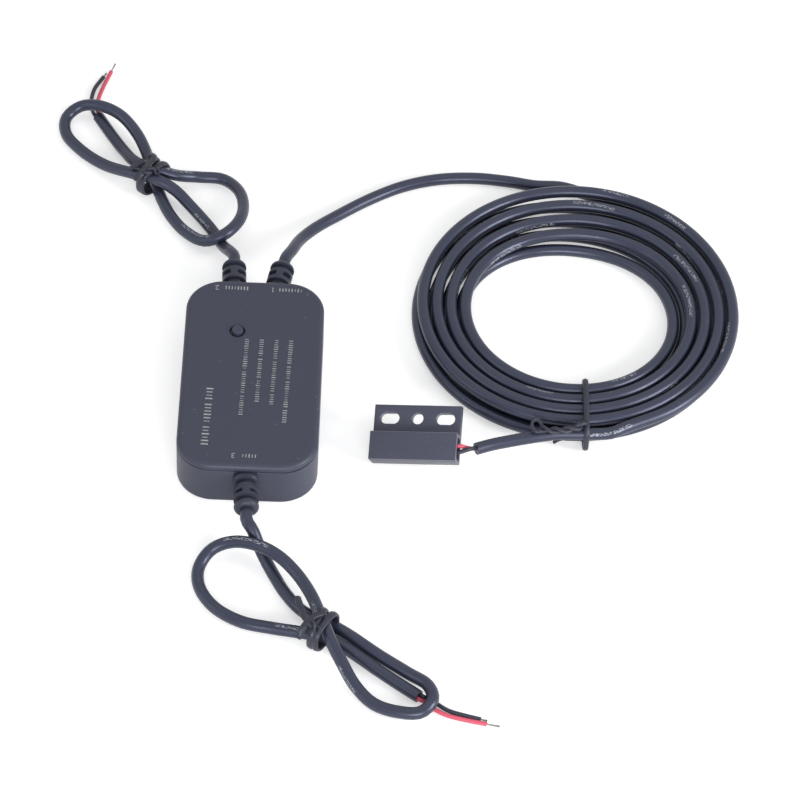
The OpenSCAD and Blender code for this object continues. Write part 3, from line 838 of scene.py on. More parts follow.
class NodeTree:
    """A Geometry Nodes tree with named inputs, built step by step."""

    def __init__(self, name: str, **sizes: str) -> None:
        """Starts a tree with a geometry input and output and its named inputs.

        Args:
            name: Name of the tree.
            sizes: Kind of each further input, such as Float or Int, by its name.
        """
        self.group = bpy.data.node_groups.new(name, "GeometryNodeTree")
        face = self.group.interface
        for way in ("INPUT", "OUTPUT"):
            face.new_socket(name="Geometry", in_out=way, socket_type="NodeSocketGeometry")
        for key, kind in sizes.items():
            face.new_socket(name=key, in_out="INPUT", socket_type=f"NodeSocket{kind}")
        self.source = self.group.nodes.new("NodeGroupInput")
        self.result = self.group.nodes.new("NodeGroupOutput")

    def node(self, kind: str, values: Optional[dict] = None, **inputs: object) -> bpy.types.Node:
        """Adds a node.

        Args:
            kind: Type name of the node.
            values: Properties of the node.
            inputs: Sockets to feed, with underscores for spaces, by value or link.

        Returns:
            The node.
        """
        node = self.group.nodes.new(kind)
        for key, value in (values or {}).items():
            setattr(node, key, value)
        for key, value in inputs.items():
            socket = next(s for s in node.inputs if s.name == key.replace("_", " ") and s.enabled)
            if isinstance(value, bpy.types.NodeSocket):
                self.group.links.new(value, socket)
            else:
                socket.default_value = value
        return node

    def random(self, low: float, high: float) -> bpy.types.NodeSocket:
        """Adds a random number between two limits, drawn by the input Seed."""
        node = self.node(
            "FunctionNodeRandomValue", {"data_type": "FLOAT"}, Min=low, Max=high, Seed=self.source.outputs["Seed"]
        )
        return next(s for s in node.outputs if s.enabled)

    def finish(self, geometry: bpy.types.NodeSocket) -> None:
        """Ends the tree with real geometry and its material.

        Args:
            geometry: The instances or mesh made so far.
        """
        real = self.node("GeometryNodeRealizeInstances", Geometry=geometry)
        painted = self.node(
            "GeometryNodeSetMaterial", Geometry=real.outputs[0], Material=self.source.outputs["Material"]
        )
        self.group.links.new(painted.outputs[0], self.result.inputs[0])

    def mesh(self, sizes: dict) -> bpy.types.Mesh:
        """Evaluates the tree with given inputs.

        Args:
            sizes: Values by the name of the input.

        Returns:
            A plain mesh.
        """
        seed = shown(bpy.data.objects.new("seed", bpy.data.meshes.new("seed")))
        nodes = seed.modifiers.new("nodes", "NODES")
        nodes.node_group = self.group
        for item in self.group.interface.items_tree:
            if item.in_out == "INPUT" and item.name in sizes:
                nodes[item.identifier] = sizes[item.name]
        bake(seed)
        mesh = seed.data
        bpy.data.objects.remove(seed)
        return mesh


def bar_row_tree() -> NodeTree:
    """Builds a row of short printed bars of uneven length along X.

    Returns:
        The tree, with inputs Count, Pitch, Height, Seed and Material.
    """
    tree = NodeTree("bar_row", Count="Int", Pitch="Float", Height="Float", Seed="Int", Material="Material")
    get = tree.source.outputs
    step = tree.node("ShaderNodeCombineXYZ", X=get["Pitch"])
    line = tree.node("GeometryNodeMeshLine", Count=get["Count"], Offset=step.outputs[0])
    bar = tree.node("GeometryNodeMeshGrid", Size_X=get["Pitch"], Size_Y=get["Height"])
    scale = tree.node("ShaderNodeCombineXYZ", X=tree.random(0.2, 0.42), Y=tree.random(0.7, 1.0), Z=1.0)
    row = tree.node(
        "GeometryNodeInstanceOnPoints", Points=line.outputs[0], Instance=bar.outputs[0], Scale=scale.outputs[0]
    )
    tree.finish(row.outputs[0])
    return tree


def strand_tree() -> NodeTree:
    """Builds a bundle of straight strands on a ring, standing along Z.

    Returns:
        The tree, with inputs Count, Ring, Strand, Length and Material.
    """
    tree = NodeTree("strand_bundle", Count="Int", Ring="Float", Strand="Float", Length="Float", Material="Material")
    get = tree.source.outputs
    ring = tree.node("GeometryNodeMeshCircle", Vertices=get["Count"], Radius=get["Ring"])
    strand = tree.node(
        "GeometryNodeMeshCylinder", Vertices=8, Side_Segments=10, Radius=get["Strand"], Depth=get["Length"]
    )
    bundle = tree.node("GeometryNodeInstanceOnPoints", Points=ring.outputs[0], Instance=strand.outputs[0])
    tree.finish(bundle.outputs[0])
    return tree


# Camera and light


@dataclass(frozen=True)
class Studio:
    """Camera at the photograph's angle, a pale floor and soft plain light."""

    target: Point = (0.0482, 0.0052, 0.0)
    distance: float = 1.32
    azimuth: float = 0.8
    elevation: float = 49.0
    roll: float = 2.7
    focal: float = 182.565
    floor_z: float = -0.00005
    floor_half: float = 3.0
    floor_shade: float = 0.8
    floor_glow: float = 0.42
    sky_color: Color = (0.98, 0.99, 1.0)
    sky_strength: float = 0.55
    lamps: Sequence[tuple[str, Point, tuple[float, float], float, Point]] = (
        ("overhead", (0.05, 0.3, 1.25), (1.0, 0.7), 1.1, (0.05, 0.0, 0.0)),
        ("left", (-1.1, -0.3, 0.6), (0.7, 0.6), 1.8, (0.0, 0.0, 0.0)),
        ("right", (1.15, -0.45, 0.5), (0.5, 0.6), 13.0, (0.05, 0.0, 0.0)),
        ("front", (0.1, -1.25, 0.5), (0.9, 0.5), 12.5, (0.03, 0.0, 0.0)),
    )

    def camera(self) -> None:
        """Places the camera."""
        e, a, r = (math.radians(v) for v in (self.elevation, self.azimuth, self.roll))
        ahead = Vector((math.sin(a) * math.cos(e), math.cos(a) * math.cos(e), -math.sin(e)))
        right = Vector((math.cos(a), -math.sin(a), 0.0))
        up = right.cross(ahead)
        across = math.cos(r) * right + math.sin(r) * up
        above = -math.sin(r) * right + math.cos(r) * up
        data = bpy.data.cameras.new("camera")
        data.sensor_width, data.lens = 36.0, self.focal
        data.clip_start, data.clip_end = 0.05, 20.0
        cam = shown(bpy.data.objects.new("camera", data))
        turn = Matrix((across, above, -ahead)).transposed().to_4x4()
        cam.matrix_world = Matrix.Translation(Vector(self.target) - ahead * self.distance) @ turn
        bpy.context.scene.camera = cam

    def lamp(self, name: str, place: Point, size: tuple[float, float], power: float, aim: Point) -> None:
        """Adds one soft panel of light.

        Args:
            name: Name of the lamp.
            place: Its centre.
            size: Its width and depth.
            power: Its power in watts.
            aim: The point that it faces.
        """
        data = bpy.data.lights.new(name, "AREA")
        data.shape, data.size, data.size_y, data.energy = "RECTANGLE", size[0], size[1], power
        lamp = shown(bpy.data.objects.new(name, data))
        lamp.location = place
        lamp.rotation_mode = "QUATERNION"
        lamp.rotation_quaternion = (Vector(aim) - Vector(place)).to_track_quat("-Z", "Y")

    def white_when_seen(
        self, tree: bpy.types.NodeTree, plain: bpy.types.NodeSocket, seen: float
    ) -> bpy.types.NodeSocket:
        """Adds white to a shader for rays from the camera, mirrors and glass.

        Args:
            tree: The tree.
            plain: The shader for every other ray.
            seen: Strength of the white.

        Returns:
            The mixed shader.
        """
        path = tree.nodes.new("ShaderNodeLightPath")
        total = path.outputs["Is Camera Ray"]
        for name in ("Is Glossy Ray", "Is Transmission Ray"):
            node = tree.nodes.new("ShaderNodeMath")
            node.operation = "MAXIMUM"
            tree.links.new(total, node.inputs[0])
            tree.links.new(path.outputs[name], node.inputs[1])
            total = node.outputs[0]
        white = tree.nodes.new("ShaderNodeBackground" if plain.node.type == "BACKGROUND" else "ShaderNodeEmission")
        white.inputs["Color"].default_value = (1, 1, 1, 1)
        white.inputs["Strength"].default_value = seen
        mix = tree.nodes.new("ShaderNodeMixShader")
        tree.links.new(total, mix.inputs[0])
        tree.links.new(plain, mix.inputs[1])
        if plain.node.type == "BACKGROUND":
            tree.links.new(white.outputs[0], mix.inputs[2])
        else:
            both = tree.nodes.new("ShaderNodeAddShader")
            tree.links.new(plain, both.inputs[0])
            tree.links.new(white.outputs[0], both.inputs[1])
            tree.links.new(both.outputs[0], mix.inputs[2])
        return mix.outputs[0]

    def build(self) -> None:
        """Makes the camera, the world, the floor and the lamps."""
        self.camera()
        scene = bpy.context.scene
        scene.view_settings.view_transform = "Standard"
        world = bpy.data.worlds.new("studio")
        world.use_nodes = True
        scene.world = world
        tree = world.node_tree
        sky = tree.nodes["Background"]
        sky.inputs["Color"].default_value = (*self.sky_color, 1.0)
        sky.inputs["Strength"].default_value = self.sky_strength
        tree.links.new(self.white_when_seen(tree, sky.outputs[0], 1.0), tree.nodes["World Output"].inputs[0])
        self.floor()
        for lamp in self.lamps:
            self.lamp(*lamp)

    def floor(self) -> None:
        """Makes the pale floor that keeps the soft shadow."""
        half = self.floor_half
        corners = [(x, y, self.floor_z) for x, y in ((-half, -half), (half, -half), (half, half), (-half, half))]
        paint = bpy.data.materials.new("floor_paint")
        paint.use_nodes = True
        tree = paint.node_tree
        tree.nodes.remove(tree.nodes["Principled BSDF"])
        matt = tree.nodes.new("ShaderNodeBsdfDiffuse")
        matt.inputs["Color"].default_value = (*(self.floor_shade,) * 3, 1.0)
        lit = self.white_when_seen(tree, matt.outputs[0], self.floor_glow)
        tree.links.new(lit, tree.nodes["Material Output"].inputs[0])
        mesh = bpy.data.meshes.new("floor")
        mesh.from_pydata(corners, [], [(0, 1, 2, 3)])
        mesh.materials.append(paint)
        floor = shown(bpy.data.objects.new("floor", mesh))


# Cords


@dataclass(frozen=True)
class CoilRule:
    """Where a turn of the coil runs, as a function of turns from its start."""

    centre: Point = (104.0, 43.6)
    half_width: float = 53.4
    half_depth: float = 55.4
    first_angle: float = 80.0
    turns: int = 8
    span: float = 160.0
    pitch: float = 4.4
    spread_far: float = 2.2
    layer_shift: float = 1.6
    lift_near: float = 1.1
    layer_step: float = 4.5
    climb_turns: float = 0.5
    rings: int = 24

    def place(self, t: float, radius: float) -> Vector:
        """Gives the centre of the cord after t turns.

        Args:
            t: Turns from the coil's start.
            radius: Radius of the cord, in millimetres.

        Returns:
            The place, in millimetres.
        """
        end = self.turns + self.span / 360
        angle = math.radians(self.first_angle - 360 * t)
        far, near = ((1 + math.sin(angle)) / 2) ** 3, ((1 - math.sin(angle)) / 2) ** 3
        drop = min(t, end - t) * (self.pitch + self.spread_far * far)
        climb = eased((t - end / 2 + self.climb_turns / 2) / self.climb_turns)
        z = radius + self.lift_near * near + self.layer_step * climb
        return Vector(
            (
                self.centre[0] + self.layer_shift * (climb**2 - 0.5) + (self.half_width - drop) * math.cos(angle),
                self.centre[1] + (self.half_depth - drop) * math.sin(angle),
                z,
            )
        )

    def route(self, diameter: float) -> list[Vector]:
        """Gives the coil's points with one straight step at each end.

        Args:
            diameter: Diameter of the cord, in millimetres.

        Returns:
            Places in millimetres.
        """
        end = self.turns + self.span / 360
        body = [self.place(i / self.rings, diameter / 2) for i in range(int(end * self.rings + 1e-6) + 1)]
        start = body[0] - diameter * (body[1] - body[0]).normalized()
        stop = body[-1] + diameter * (body[-1] - body[-2]).normalized()
        return [start, *body, stop]

    def between(self, lead: Sequence[Point], tail: Sequence[Point], diameter: float) -> list[Vector]:
        """Joins the coil to the cord's lead and tail.

        Args:
            lead: Route from the box, in millimetres.
            tail: Route to the sensor, in millimetres.
            diameter: Diameter of the cord, in millimetres.

        Returns:
            The whole route, in millimetres.
        """
        coil = self.route(diameter)
        before = coil[0] - 2 * diameter * (coil[1] - coil[0]).normalized()
        after = 2 * coil[-1] - coil[-2]
        return [*map(Vector, lead), before, *coil, after, *map(Vector, tail)]


DC_ROUTE = (
    (3.1, -58.8, 9), (5, -61.8, 5.9), (6.7, -64.5, 3.7), (9.8, -70, 2.1), (14.1, -77.8, 2),
    (19.8, -85.2, 2.6), (26.3, -89.2, 3.2), (34, -93.9, 2.9), (44, -101.3, 2.4), (53, -107.8, 2.6),
    (59.2, -113.2, 3.9), (60.7, -119.3, 4.7), (57.3, -123.4, 3.8), (50.2, -122.8, 2.7), (42.7, -119.5, 2),
    (36.9, -113.5, 2.9), (32.5, -106.7, 5.6), (29.3, -100.8, 7.4), (26, -92.2, 7.8), (22.2, -82.2, 7.4),
    (17.2, -73.8, 7.4), (11.4, -68, 8.2), (4.5, -64.7, 9), (-3, -62.7, 7.6), (-9.5, -63.8, 4.8),
    (-13.2, -69.4, 2.6), (-12.7, -76.6, 2), (-7.7, -84.4, 2), (1, -89.8, 2), (10.4, -91.8, 2),
    (19, -93.5, 2.6), (26.5, -95.3, 3.2), (34, -99.4, 2.6), (43.4, -106.4, 2), (51, -112.2, 2),
    (56.6, -116.2, 2),
)
DC_RED_ROUTE = (
    (58.1, -117.5, 1.5), (61.2, -120, 1.1), (65.3, -122, 0.8), (70.8, -123.5, 0.8), (77.4, -124.8, 0.8),
)
DC_BLACK_ROUTE = (
    (59.8, -115.9, 1.4), (62.2, -118, 1), (65.8, -120.3, 0.8), (70.8, -121.9, 0.8), (75.6, -123.1, 0.8),
)
GND_ROUTE = (
    (-9.7, 59.4, 9.6), (-11, 62.7, 7.2), (-12, 65.8, 4.9), (-13.2, 69.4, 2.8), (-16.9, 76.4, 2),
    (-24.6, 86.3, 2.8), (-30.4, 90.8, 5.8), (-37.4, 93.7, 7.8), (-45.4, 97.2, 6.4), (-54.6, 103.5, 3.2),
    (-63, 111, 2), (-68.8, 118.6, 2), (-69.4, 126.1, 2.4), (-65, 129.8, 4.4), (-58.2, 128.6, 6.5),
    (-50.8, 124.8, 6.3), (-44.6, 117.6, 4.8), (-40.6, 109.2, 3.4), (-38.2, 100.6, 3.2), (-35.5, 92, 2.8),
    (-30.9, 82, 2), (-24.9, 73.9, 2.4), (-18.4, 68.7, 4.4), (-12.4, 69.2, 7.2), (-8, 75.4, 6.8),
    (-6.5, 84.2, 5), (-8.5, 93.4, 3.5), (-14.2, 99.4, 2.6), (-22.4, 99.2, 3.4), (-30, 97.2, 6),
    (-37.6, 98.3, 7.8), (-43.9, 103, 5.6), (-48.4, 110.8, 2.8), (-53.4, 119.2, 2), (-58.4, 127.7, 2),
)
GND_RED_ROUTE = (
    (-58.8, 130.2, 1.6), (-59.4, 133.8, 1.1), (-59.2, 137.4, 0.8), (-58.1, 142.8, 0.8), (-55.7, 151.2, 0.8),
)
GND_BLACK_ROUTE = (
    (-60.4, 129.8, 1.7), (-61.3, 133.4, 1.2), (-61.6, 137.2, 0.8), (-60.9, 142.4, 0.8), (-58.2, 148.4, 0.8),
)
LEAD_ROUTE = (
    (10.7, 61.2, 9.3), (13.2, 68.7, 6.6), (18.2, 76.6, 4.4), (26, 84.7, 2.8), (36, 93, 2.1), (47, 99.6, 2),
    (59, 103.6, 2), (72, 104.8, 2), (83.4, 103.8, 2), (92, 102.3, 2),
)
TAIL_ROUTE = ((99, -13.4, 7.6), (92.4, -14.8, 7.6), (85.5, -16.8, 7.8), (78, -19.4, 8.2), (72.8, -21.8, 8.6))


@dataclass(frozen=True)
class Entry:
    """One cable entry of the box: its place, side and lean."""

    x: float
    side: int
    lean: float
    height: float = 10.7
    half_length: float = 40.0
    relief_length: float = 12.5

    @property
    def ahead(self) -> Vector:
        """The direction in which the cord leaves."""
        lean = math.radians(self.lean)
        return Vector((math.sin(lean), self.side * math.cos(lean), 0.0))

    @property
    def tip(self) -> Vector:
        """The middle of the strain relief's end face, in millimetres."""
        return Vector((self.x, self.side * self.half_length, self.height)) + self.relief_length * self.ahead


DC_ENTRY = Entry(0.0, -1, 4.0)
GND_ENTRY = Entry(-7.4, 1, -3.0)
SENSOR_ENTRY = Entry(6.1, 1, 9.5)
ENTRIES = (DC_ENTRY, GND_ENTRY, SENSOR_ENTRY)


@dataclass(frozen=True)
class CoreWires:
    """The two insulated wires of a cord and their bare tinned tips."""

    stem: str
    red: Sequence[Point]
    black: Sequence[Point]
    diameter: float = 1.4
    offset: float = 0.8
    strand_length: float = 4.0
    strand: float = 0.09
    strand_ring: float = 0.17
    strand_count: int = 6
    strand_turns: float = 1.6

    def path(self, jacket: Sequence[Vector], hand: int, route: Sequence[Point]) -> list[Vector]:
        """Gives a wire's smooth path from inside the jacket's end face.

        Args:
            jacket: The jacket's route, in millimetres.
            hand: Side of the jacket's axis.
            route: The wire's own points, in millimetres.

        Returns:
            The path, in metres.
        """
        ahead, side = heading(jacket[-2], jacket[-1])
        start = jacket[-1] + hand * self.offset * side
        line = smooth_route(metres([start, start + self.diameter * ahead, *map(Vector, route)]), 0.0008)
        return above_floor(line, self.diameter / 2 * MM)

    def tip(self, path: Sequence[Vector], length: float) -> Shape:
        """Makes the twisted bare strands at a wire's end.

        Args:
            path: The wire's path, in metres.
            length: Length of the strands, in millimetres.

        Returns:
            Vertices and faces.
        """
        sizes = {
            "Count": self.strand_count,
            "Ring": self.strand_ring * MM,
            "Strand": self.strand * MM,
            "Length": length * MM,
            "Material": Finish.TINNED.made(),
        }
        spots, faces = shape_of(strand_tree().mesh(sizes))
        ahead, side = heading(path[-3], path[-1])
        turn = Matrix((side, ahead.cross(side), ahead)).transposed()
        half = length * MM / 2
        verts = []
        for v in spots:
            share = (v.z + half) / (2 * half)
            angle = self.strand_turns * FULL_TURN * share
            spread = 1.0 + 0.5 * share * share
            flat = Matrix.Rotation(angle, 3, "Z") @ Vector((v.x * spread, v.y * spread, v.z + half))
            verts.append(path[-1] + turn @ flat)
        return verts, faces

    def build(self, jacket: Sequence[Vector]) -> list[bpy.types.Object]:
        """Makes both wires and their tips.

        Args:
            jacket: The jacket's route, in millimetres.

        Returns:
            The pieces on the cord.
        """
        pieces, tips = [], []
        for hand, route, finish, word, length in (
            (-1, self.red, Finish.RED_WIRE, "red", self.strand_length),
            (1, self.black, Finish.BLACK_WIRE, "black", self.strand_length / 2),
        ):
            path = self.path(jacket, hand, route)
            wire = swept_tube(f"{self.stem}_{word}_core", path, self.diameter / 2 * MM, 16, finish.made(), 0.0001)
            pieces.append(settle(wire, [f"{self.stem}_{word}_wire"]))
            tips.append(self.tip(path, length))
        bare = new_piece(f"{self.stem}_tips", *joined(tips), Finish.TINNED.made(), 50)
        pieces.append(settle(bare, [f"{self.stem}_bare_strands"]))
        return pieces


@dataclass(frozen=True)
class Cord:
    """A round two-core cord from its strain relief to the end of its jacket."""

    stem: str
    entry: Entry
    route: Sequence[Point]
    nodes: Sequence[str]
    lay: str
    far_end: str
    diameter: float = 4.0
    step: float = 1.6
    sides: int = 20

    def path_points(self) -> list[Vector]:
        """Returns the whole route with a straight start, in millimetres."""
        start = self.entry.tip
        return [start, start + self.diameter * self.entry.ahead, *map(Vector, self.route)]

    def build(self, on_it: Sequence[bpy.types.Object]) -> bpy.types.Object:
        """Args:
            on_it: Separate pieces on the cord. Not used.

        Returns:
            The jacket.
        """
        path = above_floor(smooth_route(metres(self.path_points()), self.step * MM), self.diameter / 2 * MM)
        piece = swept_tube(
            f"{self.stem}_jacket", path, self.diameter / 2 * MM, self.sides, Finish.PRINTED_CORD.made(), 0.00025
        )
        settle(piece, self.nodes)
        tuple(self.entry.tip * MM)
        return piece


@dataclass(frozen=True)
class ReliefBoot:
    """Moulded strain relief: neck, inner flange and a ribbed boot with windows."""

    stem: str
    entry: Entry
    diameter: float = 8.0
    neck: float = 6.96
    wall: float = 2.0
    flange: float = 7.6
    flange_depth: float = 1.8
    groove_width: float = 1.85
    groove_depth: float = 1.45
    groove_places: Sequence[float] = (1.94, 8.75)
    window_place: float = 5.75
    window_width: float = 1.5
    window_depth: float = 1.9
    end_round: float = 1.5
    collar: float = 1.9
    seam_z: float = 14.7
    sides: int = 96

    def radius(self, run: float, angle: float) -> float:
        """Gives the boot's radius at a place on it.

        Args:
            run: Distance from the wall, in millimetres.
            angle: Angle about the axis, in radians.

        Returns:
            The radius, in millimetres.
        """

        def dip(value: float, middle: float, half: float, soft: float) -> float:
            """Gives 1 inside a band with soft shoulders and 0 outside it."""
            return eased((half + soft - abs(value - middle)) / (2 * soft))

        r = self.diameter / 2
        if run < self.collar and math.sin(angle) > 0:
            square = (abs(math.cos(angle)) ** 3 + abs(math.sin(angle)) ** 3) ** (-1 / 3)
            r *= 1 + (square - 1) * (1 - (run / self.collar) ** 4)
        for place in self.groove_places:
            r -= self.groove_depth * dip(run, place + self.groove_width / 2, self.groove_width / 2, 0.1)
        turn = (angle + math.pi / 4) % (math.pi / 2) - math.pi / 4
        across = dip(abs(turn), math.pi / 4, 0.42, 0.07)
        along = dip(run, self.window_place + self.window_width / 2, self.window_width / 2, 0.16)
        return r - self.window_depth * across * along

    def build(self) -> bpy.types.Object:
        """Makes the boot.

        Returns:
            The piece.
        """
        entry = self.entry
        root = Vector((entry.x, entry.side * entry.half_length, entry.height))
        ahead = entry.ahead
        side = UP.cross(ahead)
        end = entry.relief_length
        runs = [i * 0.12 for i in range(int((end - self.end_round) / 0.12) + 1)]
        rings = []

        def ring(run: float, trim: float) -> None:
            """Adds a ring of the boot with its radius trimmed."""
            middle = root + run * ahead
            turns = [FULL_TURN * k / self.sides for k in range(self.sides)]
            out = [math.cos(t) * side + math.sin(t) * UP for t in turns]
            rings.append([(middle + (self.radius(run, t) - trim) * v) * MM for t, v in zip(turns, out)])

        ring(0.02, 1.2)
        for run in runs:
            ring(max(run, 0.02), 0.25 * max(0.0, 1 - run / 0.3) ** 2)
        for a in quarter(8)[1:]:
            ring(end - self.end_round * (1 - math.sin(a)), self.end_round * (1 - math.cos(a)))
        ring(end - 0.15, self.diameter / 2 - 2.05)
        boot = loft(rings)
        inward = at_mm(*root) @ Vector((0, -entry.side, 0)).to_track_quat("Z", "Y").to_matrix().to_4x4()
        inner = self.wall + 0.15
        profile = [
            (self.neck / 2 - 0.3, -0.3), (self.neck / 2, -0.1), (self.neck / 2, inner),
            (self.flange / 2 - 0.2, inner), (self.flange / 2, inner + 0.2),
            (self.flange / 2, inner + self.flange_depth - 0.3), (self.flange / 2 - 0.3, inner + self.flange_depth),
        ]
        neck = revolve(profile, inward, 64)
        near, far = entry.side * (entry.half_length - 0.12), entry.side * (entry.half_length - self.wall)
        half = (self.neck / 2, (near - far) / 2)
        plug = block(entry.x, (near + far) / 2, half, entry.height, self.seam_z - 0.07)
        boot = joined([boot, neck, plug])
        piece = new_piece(f"{self.stem}_boot", *boot, Finish.RELIEF.made(), MOULDED_SHARP)
        return settle(piece, [f"{self.stem}_relief"])


# Ties


def ribbon(
    path: Sequence[Vector],
    outward: Sequence[Vector],
    width: float,
    closed: bool,
    wire: float = 0.5,
    thick: float = 1.0,
) -> Shape:
    """Sweeps a flat ribbon with a raised wire in its middle.

    Args:
        path: Middle of the ribbon, in millimetres.
        outward: Direction of its outer face at each point.
        width: Width of the ribbon, in millimetres.
        closed: Joins the ends.
        wire: Height of the raised middle over the face.
        thick: Thickness of its flat edges.

    Returns:
        Vertices and faces.
    """
    shape = [(-0.5, 0.0), (-0.47, 0.28), (-0.38, 0.44), (-0.22, 0.5), (-0.1, 0.72), (0.0, 0.8), (0.1, 0.72)]
    shape += [(0.22, 0.5), (0.38, 0.44), (0.47, 0.28), (0.5, 0.0), (0.47, -0.28), (0.38, -0.44), (0.2, -0.5)]
    shape += [(0.0, -0.5), (-0.2, -0.5), (-0.38, -0.44), (-0.47, -0.28)]
    rings = []
    count = len(path)
    for i, p in enumerate(path):
        a = path[(i - 1) % count] if closed or i else p
        b = path[(i + 1) % count] if closed or i < count - 1 else p
        ahead = (b - a).normalized()
        up = (outward[i] - outward[i].dot(ahead) * ahead).normalized()
        side = ahead.cross(up)
        ring = []
        for x, y in shape:
            lift = y * thick if abs(y) <= 0.5 else math.copysign(0.5 * thick + (abs(y) - 0.5) * wire, y)
            ring.append((p + side * x * width + up * lift) * MM)
        rings.append(ring)
    return loft(rings, caps=not closed, round_trip=closed)


def twisted_pair(path: Sequence[Vector], strand: float, pitch: float) -> Shape:
    """Twists two round strands about a path.

    Args:
        path: Middle of the pair, in millimetres.
        strand: Diameter of one strand, in millimetres.
        pitch: Length of one full turn, in millimetres.

    Returns:
        Vertices and faces.
    """
    frames = sweep_frames(path)
    parts = []
    for phase in (0.0, math.pi):
        run, line = 0.0, []
        for i, p in enumerate(path):
            if i:
                run += (p - path[i - 1]).length
            turn = phase + FULL_TURN * run / pitch
            side, up = frames[i]
            line.append(p + strand * 0.48 * (math.cos(turn) * side + math.sin(turn) * up))
        rings = []
        for i, p in enumerate(line):
            r = strand / 2 * (0.7 if i in (0, len(line) - 1) else 1.0)
            rings.append([v * MM for v in circle(p, frames[i], r, 10)])
        parts.append(loft(rings))
    return joined(parts)


@dataclass(frozen=True)
class TwistTie:
    """A plastic coated wire tie: crossing wraps, a twisted knot and cut tails."""

    stem: str
    centre: Point
    turn: float
    across: float
    height: float
    knot: Sequence[Point]
    tails: Sequence[Sequence[Point]]
    wraps: Sequence[tuple[float, float]] = ((-1.1, 9.0), (1.1, -9.0))
    width: float = 2.5
    thick: float = 1.1
    squareness: float = 2.6
    strand: float = 1.35
    pitch: float = 5.0
    ends: Sequence[Sequence[Point]] = ()
    foot: float = 0.45
    steps: int = 72

    def wrap(self, shift: float, lean: float) -> Shape:
        """Makes one closed loop round the bundle.

        Args:
            shift: Place along the bundle.
            lean: Turn of the loop about the vertical, in degrees.

        Returns:
            Vertices and faces.
        """
        angle = math.radians(self.turn + lean)
        along = Vector((math.cos(angle), math.sin(angle), 0))
        side = Vector((-math.sin(angle), math.cos(angle), 0))
        base = Vector((*self.centre, self.foot)) + shift * along
        half_w, half_h = self.across / 2, (self.height - 2 * self.foot) / 2
        path, outward = [], []
        for k in range(self.steps):
            t = FULL_TURN * k / self.steps
            c, s = math.cos(t), math.sin(t)
            power = 2 / self.squareness
            x = math.copysign(abs(c) ** power, c) * half_w
            z = math.copysign(abs(s) ** power, s) * half_h
            path.append(base + side * x + Vector((0, 0, z + half_h)))
            outward.append((side * c + Vector((0, 0, s))).normalized())
        return ribbon(path, outward, self.width, True, thick=self.thick)

    def build(self) -> bpy.types.Object:
        """Makes the tie.

        Returns:
            The piece.
        """
        parts = [self.wrap(shift, lean) for shift, lean in self.wraps]
        parts.append(twisted_pair(smooth_mm(self.knot, 0.3), self.strand, self.pitch))
        for tail in self.tails:
            path = smooth_mm(tail, 0.5)
            up = [Vector((0.5 * math.sin(i * 0.3), 0.35 * math.cos(i * 0.3), 1.0)) for i in range(len(path))]
            parts.append(ribbon(path, up, self.width * 0.9, False, thick=self.thick * 0.8))
        for end in self.ends:
            path = smooth_route(metres(end), 0.3 * MM)
            sides = sweep_frames(path)
            rings = []
            for i, p in enumerate(path):
                r = self.strand * 0.42 * MM * (0.6 if i in (0, len(path) - 1) else 1.0)
                rings.append(circle(p, sides[i], r, 10))
            parts.append(loft(rings))
        verts, faces = joined(parts)
        pressed = [(v[0], v[1], max(v[2], 0.0)) for v in verts]
        piece = new_piece(f"{self.stem}_wraps", pressed, faces, Finish.TIE.made(), 55)
        return settle(piece, [f"{self.stem}_tie"])


# The box


def rounded_ring(width: float, length: float, radius: float, z: float, steps: int = 24) -> Ring:
    """Gives a rectangle with round corners at one height.

    Args:
        width: Size along X, in millimetres.
        length: Size along Y, in millimetres.
        radius: Radius of its corners.
        z: Its height.
        steps: Steps in each corner.

    Returns:
        Points in metres.
    """
    ring = []
    for sx, sy, first in ((1, 1, 0), (-1, 1, 90), (-1, -1, 180), (1, -1, 270)):
        for k in range(steps + 1):
            a = math.radians(first + 90 * k / steps)
            x = sx * (width / 2 - radius) + radius * math.cos(a)
            y = sy * (length / 2 - radius) + radius * math.sin(a)
            ring.append(Vector((x, y, z)) * MM)
    return ring


